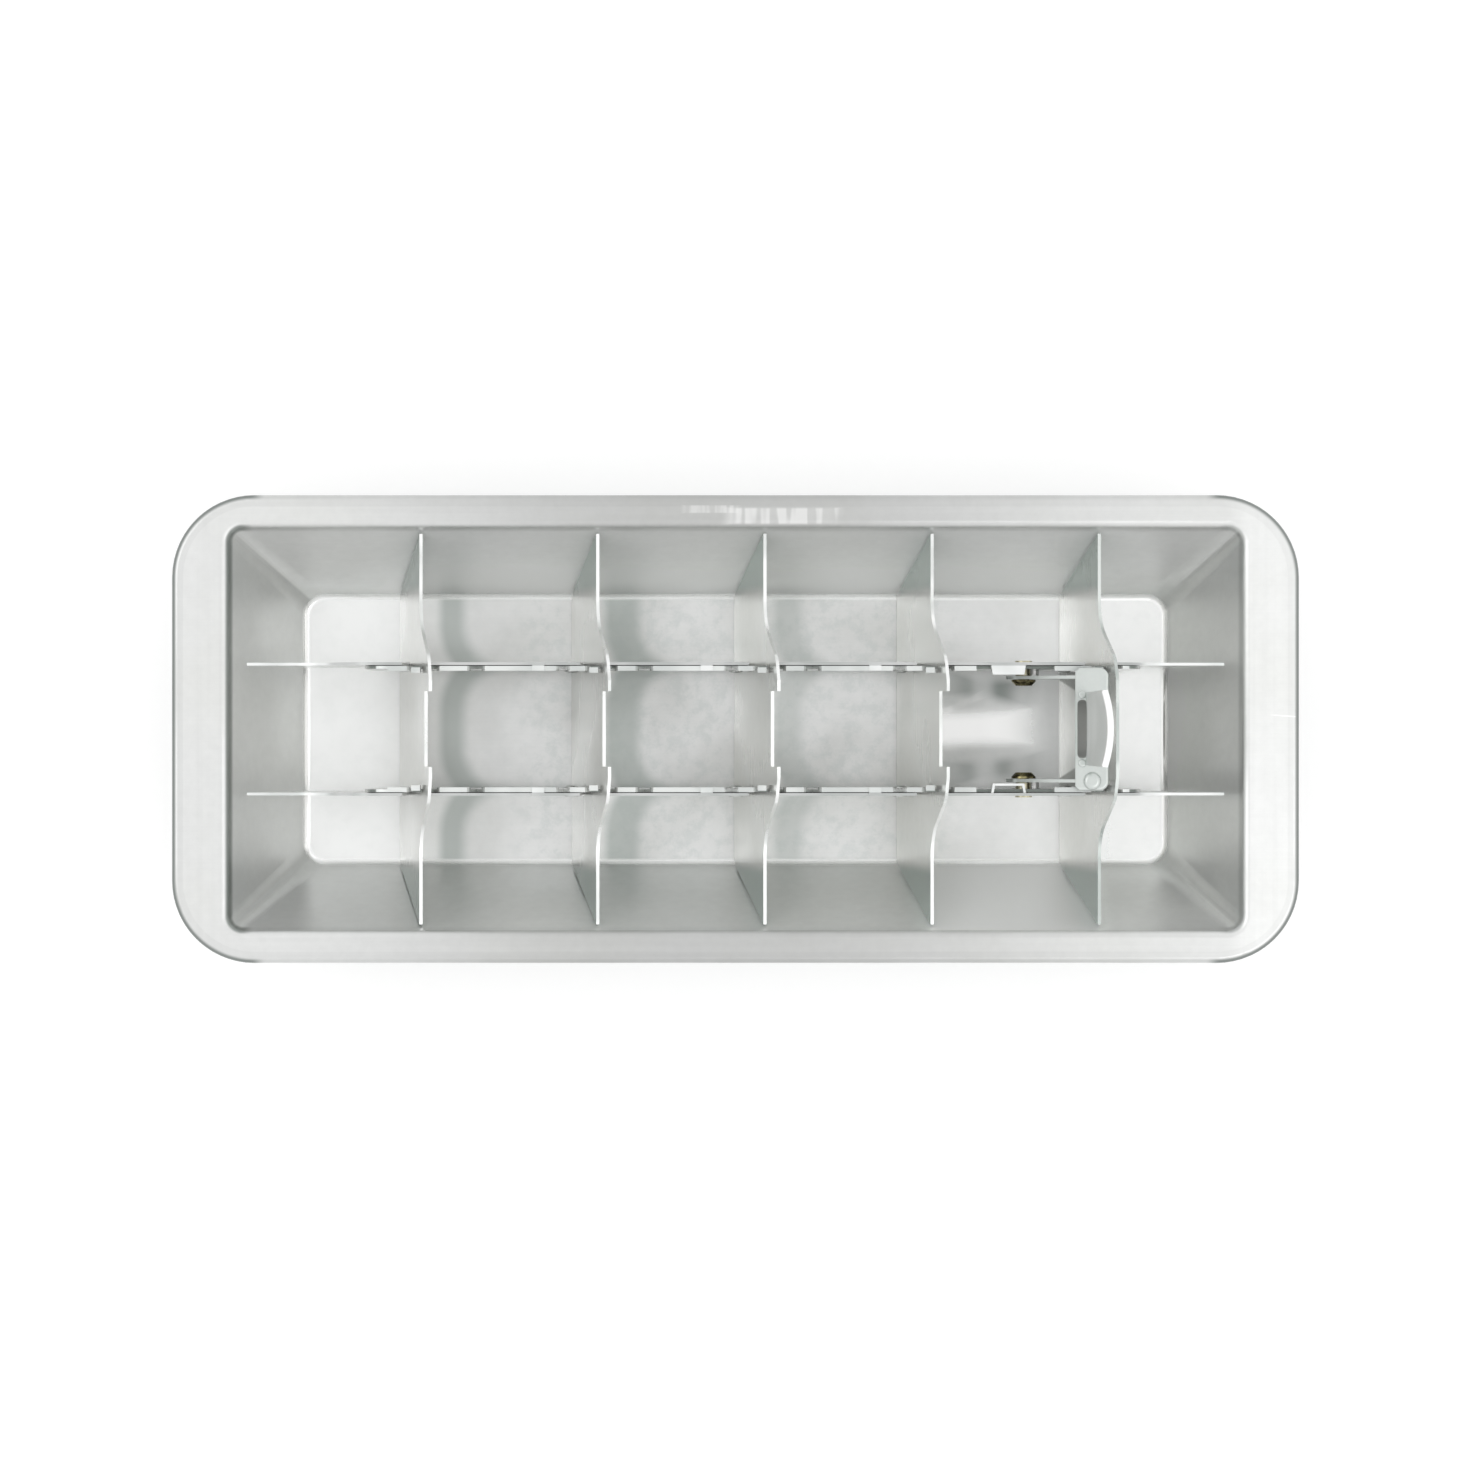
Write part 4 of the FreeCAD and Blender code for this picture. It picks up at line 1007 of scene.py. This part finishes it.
@dataclass(frozen=True, kw_only=True)
class PressedPan(RolledAluminium):
    """The pan's deep-drawn aluminium: smooth walls and a flange streaked along its rim.

    The streaks follow the rim as the buffing did. The creases carry painted lines: a white
    painted highlight along the floor's edge and dark painted shade along the rim and inside
    the mouth. A few strokes show where the flange was rubbed, and bands of painted shade lie
    beside the dividers.
    """

    flange: Flange = Flange()
    walls: PaintedWallShade = PaintedWallShade()
    floor: Floor = Floor()
    outside: str = "#C2C7C4"  # painted shade on the outer skin under the rim, where the faces look down
    underside_shade: Fade = Fade(-0.3, -0.1, 0.9, 0.0)  # how far a face looks up
    # painted lines: dark painted shade along the rim's outer edge and inside the mouth, and a white
    # painted highlight along the floor's edge, where the floor is also smoother
    creases: tuple[Crease, ...] = (
        Crease(RIM, 0.0, 1.1, "#757B78", 0.9, 0.12),
        Crease(MOUTH, 0.5, 0.8, "#7A807C", 0.8, 0.12, 0.45),
        Crease(FLOOR, 0.4, 0.9, "#FFFFFF", 1.0, 0.6, polish=0.6),
    )
    back_chalk: float = 0.50  # extra share of chalk on the back wall
    back_wall: tuple[Fade, Fade] = (  # mm across; it lies between them
        Fade(FLOOR.half_y, FLOOR.half_y + 4.0),
        Fade(MOUTH.half_y - 2.0, MOUTH.half_y, 1.0, 0.0),
    )
    before_fold: Fade = Fade(-0.8, 0.4, 1.0, 0.0)  # mm past the fold; the long walls end there
    fold_height: float = 0.16  # mm; the fold line that runs down each corner
    fold_width: Fade = Fade(0.1, 1.3, 1.0, 0.0)  # mm from the fold, to either side
    fold_ends: tuple[Fade, Fade] = (  # mm from the middle; it runs between them
        Fade(FLOOR.half_x, FLOOR.half_x + 3.0),
        Fade(MOUTH.half_x - 3.0, MOUTH.half_x - 1.0, 1.0, 0.0),
    )

    def marked(self, at: Place, skin: Skin) -> Skin:
        """Paint light and shade on the pan part by part, then paint its crease lines and add its marks.

        Args:
            at: Where the point lies.
            skin: The plain sheet's skin.

        Returns:
            The pan's skin.
        """
        on_flange, on_floor = self.flange.level.of(at.height), self.floor.level.of(at.height)
        # painted light and shade on the walls, the flange and the floor
        pan = skin.shaded(self.walls.shade(at))
        pan = pan.covered(on_flange, skin.shaded(self.flange.shade(at)).tint)
        pan = pan.covered(on_floor, self.floor.stained_and_lit(at, skin).tint)
        pan = self.floor.rubbed(at, pan, on_floor)
        for crease in self.creases:
            cover = crease.cover(at)
            pan = pan.covered(cover, crease.colour).polished(cover, crease.polish)
        # painted shade where the faces look down
        pan = pan.covered(self.underside_shade.of(at.facing_up), self.outside)
        for stroke in self.flange.strokes:
            pan = pan.covered(together(on_flange, stroke.cover(at)), stroke.colour)
        return pan

    def metalness(self, at: Place, bloom: Socket) -> Socket:
        """Leave less bare metal on the back wall, which is the chalkiest.

        Args:
            at: Where the point lies.
            bloom: How bloomed the metal is there.

        Returns:
            The share of bare metal.
        """
        start, stop = self.back_wall
        chalked = together(
            start.of(at.across), stop.of(at.across), self.before_fold.of(past_fold(at))
        )
        return together(super().metalness(at, bloom), left_after(self.back_chalk, chalked))

    def relief(self, at: Place, lines: Socket) -> Socket:
        """Raise the sharp fold that runs down each corner of the walls.

        Args:
            at: Where the point lies.
            lines: How strong the rolling lines are.

        Returns:
            The normal.
        """
        away = add_node(at.tree, "ShaderNodeMath", {"operation": "ABSOLUTE"}, {0: past_fold(at)})
        start, stop = self.fold_ends
        fold = together(
            self.fold_width.of(away.outputs[0]), start.of(at.off_along), stop.of(at.off_along)
        )
        raised = add_node(
            at.tree, "ShaderNodeBump", None,
            {
                "Height": fold, "Strength": 1.0, "Distance": self.fold_height * MM,
                "Normal": super().relief(at, lines),
            },
        )
        return raised.outputs[0]


@dataclass(frozen=True, kw_only=True)
class StampedLever(RolledAluminium):
    """The lever's stamped aluminium, with a satin handle in a lighter tone.

    Its lip is polished and painted white as a highlight, so it draws a white line above the duller sheet.
    """

    lip: Fade  # mm up; polished above it, and painted white as a highlight
    # white of the painted highlight on the lip
    polish: str = "#FFFFFF"
    handle: Fade  # mm up; lighter above it
    handle_tone: str = "#F4F6F4"

    def marked(self, at: Place, skin: Skin) -> Skin:
        """Lighten the handle, polish its lip and paint it white as a highlight.

        Args:
            at: Where the point lies.
            skin: The plain sheet's skin.

        Returns:
            The lever's skin.
        """
        lip = self.lip.of(at.height)
        smoother = add_node(
            at.tree, "ShaderNodeMix", {"data_type": "FLOAT"}, {"Factor": lip, 2: skin.dull, 3: self.smooth}
        )
        skin = skin.covered(self.handle.of(at.height), self.handle_tone).covered(lip, self.polish)
        return replace(skin, dull=smoother.outputs[0])


@dataclass(frozen=True)
class TurnedMetal:
    """A small turned piece with fine lathe rings and tarnish in its hollows.

    The rings give its flat faces a faint spin of light, and the tarnish sets off its rim.
    """

    name: str
    bright: str
    tarnish: str
    shank: str = "#C4BFA6"  # the part between the sheets stays clean
    shank_at: Fade = Fade(12.7, 13.1)  # mm from the middle; it lies outside
    smooth: float = 0.22  # roughness where it is bright
    rough: float = 0.40  # and under the tarnish
    spot_size: float = 1.4  # mm
    spots: Fade = Fade(0.38, 0.62)  # levels of their noise, from bright to tarnished
    ring_pitch: float = 0.25  # mm
    ring_depth: float = 0.004  # mm
    pitch_in_wave: float = 0.3  # one ring of the wave pattern at a scale of one, about 2 pi / 20

    def material(self) -> bpy.types.Material:
        """Build the finish.

        Returns:
            The material.
        """
        material = new_material(self.name)
        at = Place.on_piece(material.node_tree)
        noise = add_node(
            at.tree, "ShaderNodeTexNoise", None,
            {"Vector": at.point, "Scale": 1 / self.spot_size, "Detail": 3.0},
        )
        tarnished = self.spots.of(noise.outputs["Fac"])
        dull = Fade(0.0, 1.0, self.smooth, self.rough, eased=False).of(tarnished)
        skin = Skin(laid_over(self.bright, tarnished, self.tarnish), dull)
        skin = skin.covered(self.shank_at.of(at.off_across), self.shank)
        rings = add_node(
            at.tree, "ShaderNodeTexWave", {"wave_type": "BANDS", "bands_direction": "Y"},
            {"Vector": at.point, "Scale": self.pitch_in_wave / self.ring_pitch, "Distortion": 0.6},
        )
        bump = add_node(
            at.tree, "ShaderNodeBump", None,
            {"Height": rings.outputs["Fac"], "Strength": 1.0, "Distance": self.ring_depth * MM},
        )
        shader = add_node(
            at.tree, "ShaderNodeBsdfPrincipled", None,
            {
                "Base Color": skin.tint, "Roughness": skin.dull,
                "Metallic": 1.0, "Normal": bump.outputs[0],
            },
        )
        add_node(at.tree, "ShaderNodeOutputMaterial", None, {"Surface": shader.outputs[0]})
        return material


# ------------------------------------------------------------------------- sub-assemblies


class Side(Enum):
    """The long sides of the grid, as their pieces' names end."""

    FRONT = "front"
    BACK = "back"


@dataclass(frozen=True)
class Pan:
    """The pressed pan that holds the water."""

    wave_depth: float = 0.07  # mm; the drawn sheet waves more than the flat ones

    def build(self) -> None:
        """Dress the pan."""
        finish = PressedPan(name="deep_drawn_satin_aluminium", wave_depth=self.wave_depth)
        dress(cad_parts["tray_pan"], finish.material())


@dataclass(frozen=True)
class Grid:
    """The long plates, slide plates and cross dividers of the lift-out grid."""

    dividers: int = 5  # the last one stands behind the lever
    edge_round: float = 0.12  # mm
    hem_skin: float = 0.6  # mm of a slide plate's hem that is rubbed bright; the notches below it get painted shade
    hem_softness: float = 0.25  # mm over which that ends

    def build(self) -> None:
        """Dress the plates and the dividers."""
        plate, slide = self.plate().material(), self.slide().material()
        for side in Side:
            self.dress_sheet(f"long_plate_{side.value}", plate)
            self.dress_sheet(f"slide_plate_{side.value}", slide)
        bright = self.divider("sheared_aluminium_divider", "#F4F5F4", "#D9DCDA").material()
        for number in range(1, self.dividers):
            self.dress_sheet(f"cross_divider_{number}", bright)
        dull = self.divider("dull_edged_aluminium_divider", "#D6DBD8", "#B2B9B6").material()
        self.dress_sheet(f"cross_divider_{self.dividers}", dull)

    def dress_sheet(self, name: str, material: bpy.types.Material) -> None:
        """Dress one sheet and soften its cut edges.

        Args:
            name: The sheet's name.
            material: Its finish.
        """
        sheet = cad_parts[name]
        dress(sheet, material)
        soften(sheet, self.edge_round)

    def plate(self) -> ShearedAluminium:
        """Choose the finish of the long plates, duller between their ends.

        Returns:
            The finish.
        """
        return ShearedAluminium(
            name="sheared_aluminium_plate", edge="#EFF1F0", worn="#DADEDC",
            duller=Fade(99.0, 103.0, 1.0, 0.0), lost=0.32,
        )

    def slide(self) -> ShearedAluminium:
        """Choose the finish of the slide plates, whose hems are rubbed bright, with painted shade in their
        notches.

        Returns:
            The finish.
        """
        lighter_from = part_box("slide_plate_front")[1].z / MM - self.hem_skin
        return ShearedAluminium(
            name="punched_aluminium_slide", edge="#E3E6E4", worn="#CFD3D1", notch_shade="#7F8581",
            rubbed=Fade(lighter_from - self.hem_softness, lighter_from),
        )

    def divider(self, name: str, edge: str, worn: str) -> DividerAluminium:
        """Choose the finish of a cross divider.

        Args:
            name: The material's name.
            edge: Colour of its rubbed edges.
            worn: Colour of the edges where they lost their shine.

        Returns:
            The finish.
        """
        return DividerAluminium(
            name=name, clean="#FDFDFB", bloom="#F9F9F6", edge=edge, worn=worn, grain=Grain.ACROSS,
            chalk=0.08, smooth=0.24, rough=0.38, wave_depth=0.02,
        )


@dataclass(frozen=True)
class Lever:
    """The stamped lever with its brass rivets and steel pins."""

    handle_height: float = 69.0  # mm from the handle's foot to the top of its lip
    handle_softness: float = 3.0  # mm over which the lighter tone begins
    handle_shine: float = 0.45  # share of the skin that is lightened
    lip_height: float = 1.6  # mm; the polished part of the lip, painted white as a highlight
    lip_softness: float = 1.5  # mm over which it begins

    def build(self) -> None:
        """Dress the lever, rivets and pins."""
        dress(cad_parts["lever_handle"], self.sheet().material())
        brass = TurnedMetal("aged_turned_brass", "#A39A72", "#4D4835").material()
        steel = TurnedMetal("turned_steel", "#C9C9C8", "#9A9B9A", shank="#C9C9C8").material()
        headed = TurnedMetal("headed_aluminium", "#DDDEDC", "#B9BCBA", shank="#D2D4D2").material()
        for side in Side:
            dress(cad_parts[f"pivot_rivet_{side.value}"], brass)
            dress(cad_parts[f"drive_pin_{side.value}"], steel)
            dress(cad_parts[f"guide_rivets_{side.value}"], headed)

    def sheet(self) -> StampedLever:
        """Choose the stamped sheet's finish, with its marks at the heights of this lever.

        Returns:
            The finish.
        """
        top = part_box("lever_handle")[1].z / MM
        lip, handle = top - self.lip_height, top - self.handle_height
        return StampedLever(
            name="stamped_aluminium_lever", grain=Grain.UPRIGHT, clean="#CFD4D1", bloom="#C6CBC8",
            lip=Fade(lip - self.lip_softness, lip),
            handle=Fade(handle, handle + self.handle_softness, 0.0, self.handle_shine),
        )


# --------------------------------------------------------------------------------- studio


@dataclass(frozen=True)
class Lamp:
    """A broad soft lamp that hangs above the tray."""

    place: tuple[float, float, float]  # m
    power: float  # W
    size: float = 1.0  # m
    aim: tuple[float, float, float] = (0.0, 0.0, 0.03)  # m; the middle of the grid

    def hang(self) -> None:
        """Hang the lamp and turn it towards the tray."""
        data = bpy.data.lights.new("soft_lamp", "AREA")
        data.shape = "SQUARE"
        data.size = self.size
        data.energy = self.power
        lamp = bpy.data.objects.new("soft_lamp", data)
        lamp.location = self.place
        lamp.rotation_euler = (Vector(self.aim) - lamp.location).to_track_quat("-Z", "Y").to_euler()
        lamp.visible_camera = False
        bpy.context.scene.collection.objects.link(lamp)


@dataclass(frozen=True)
class Studio:
    """A pale floor, soft light from above and the camera."""

    camera_place: tuple[float, float, float] = (-0.00012, -0.0016, 1.188)  # m
    lens: float = 113.4  # mm
    sensor: float = 36.0  # mm
    sight: float = 50.0  # m
    floor_half: float = 4.0  # m
    floor_drop: float = 0.2  # mm below the pan
    paper: str = "#C8C8C8"
    paper_glow: float = 0.50  # lifts the seen and mirrored paper to white, lights nothing
    room: tuple[tuple[float, float], ...] = (  # height of a direction, and the light from there
        (0.0, 1.0), (0.10, 0.88), (0.34, 1.04), (0.62, 1.08), (0.86, 1.0), (1.0, 0.96),
    )
    lamps: tuple[Lamp, ...] = (Lamp((0.75, -0.55, 1.55), 2.6), Lamp((-1.10, 0.30, 1.50), 2.4))

    def build(self) -> None:
        """Build the whole studio."""
        self.hang_camera()
        self.lay_floor()
        self.light_room()
        for lamp in self.lamps:
            lamp.hang()

    def hang_camera(self) -> None:
        """Hang the camera straight above the tray."""
        data = bpy.data.cameras.new("camera")
        data.lens = self.lens
        data.sensor_width = self.sensor
        data.clip_end = self.sight
        camera = bpy.data.objects.new("camera", data)
        camera.location = self.camera_place
        bpy.context.scene.collection.objects.link(camera)
        bpy.context.scene.camera = camera

    def lay_floor(self) -> None:
        """Lay a pale floor that shows white and keeps the tray's shadow."""
        half = self.floor_half
        mesh = bpy.data.meshes.new("studio_floor")
        corners = [(-half, -half, 0), (half, -half, 0), (half, half, 0), (-half, half, 0)]
        mesh.from_pydata(corners, [], [(0, 1, 2, 3)])
        mesh.materials.append(self.white_paper())
        floor = bpy.data.objects.new("studio_floor", mesh)
        floor.location = (0, 0, -self.floor_drop * MM)
        bpy.context.scene.collection.objects.link(floor)

    def white_paper(self) -> bpy.types.Material:
        """Make matt paper that glows only where it is seen, mirrored or looked at through glass.

        Returns:
            The material.
        """
        material = new_material("matt_white_paper")
        tree = material.node_tree
        path = add_node(tree, "ShaderNodeLightPath")
        seen = path.outputs["Is Camera Ray"]
        for ray in ("Is Glossy Ray", "Is Transmission Ray"):
            seen = add_node(
                tree, "ShaderNodeMath", {"operation": "MAXIMUM"}, {0: seen, 1: path.outputs[ray]}
            ).outputs[0]
        strength = add_node(
            tree, "ShaderNodeMath", {"operation": "MULTIPLY"}, {0: seen, 1: self.paper_glow}
        )
        paper = add_node(tree, "ShaderNodeBsdfDiffuse", None, {"Color": linear(self.paper)})
        glow = add_node(
            tree, "ShaderNodeEmission", None,
            {"Color": linear("#FFFFFF"), "Strength": strength.outputs[0]},
        )
        both = add_node(tree, "ShaderNodeAddShader", None, {0: paper.outputs[0], 1: glow.outputs[0]})
        add_node(tree, "ShaderNodeOutputMaterial", None, {"Surface": both.outputs[0]})
        return material

    def light_room(self) -> None:
        """Surround the tray with a pale room, brightest halfway up."""
        world = bpy.data.worlds.new("studio_room")
        bpy.context.scene.world = world
        world.use_nodes = True
        tree = world.node_tree
        tree.nodes.clear()
        place = add_node(tree, "ShaderNodeTexCoord")
        axes = add_node(tree, "ShaderNodeSeparateXYZ", None, {0: place.outputs["Generated"]})
        ramp = add_node(tree, "ShaderNodeValToRGB", None, {"Fac": axes.outputs["Z"]})
        stops = ramp.color_ramp.elements
        stops.remove(stops[1])
        for height, light in self.room:
            stops.new(height).color = (light, light, light, 1.0)
        stops.remove(stops[0])
        sky = add_node(tree, "ShaderNodeBackground", None, {"Color": ramp.outputs[0], "Strength": 1.0})
        add_node(tree, "ShaderNodeOutputWorld", None, {"Surface": sky.outputs[0]})


# ----------------------------------------------------------------------------------- main


def main() -> None:
    """Build the studio and dress every piece."""
    logging.basicConfig(level=logging.INFO)
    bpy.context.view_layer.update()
    Studio().build()
    Pan().build()
    Grid().build()
    Lever().build()
    bpy.context.scene.view_settings.view_transform = "Standard"


if __name__ == "__main__":
    main()
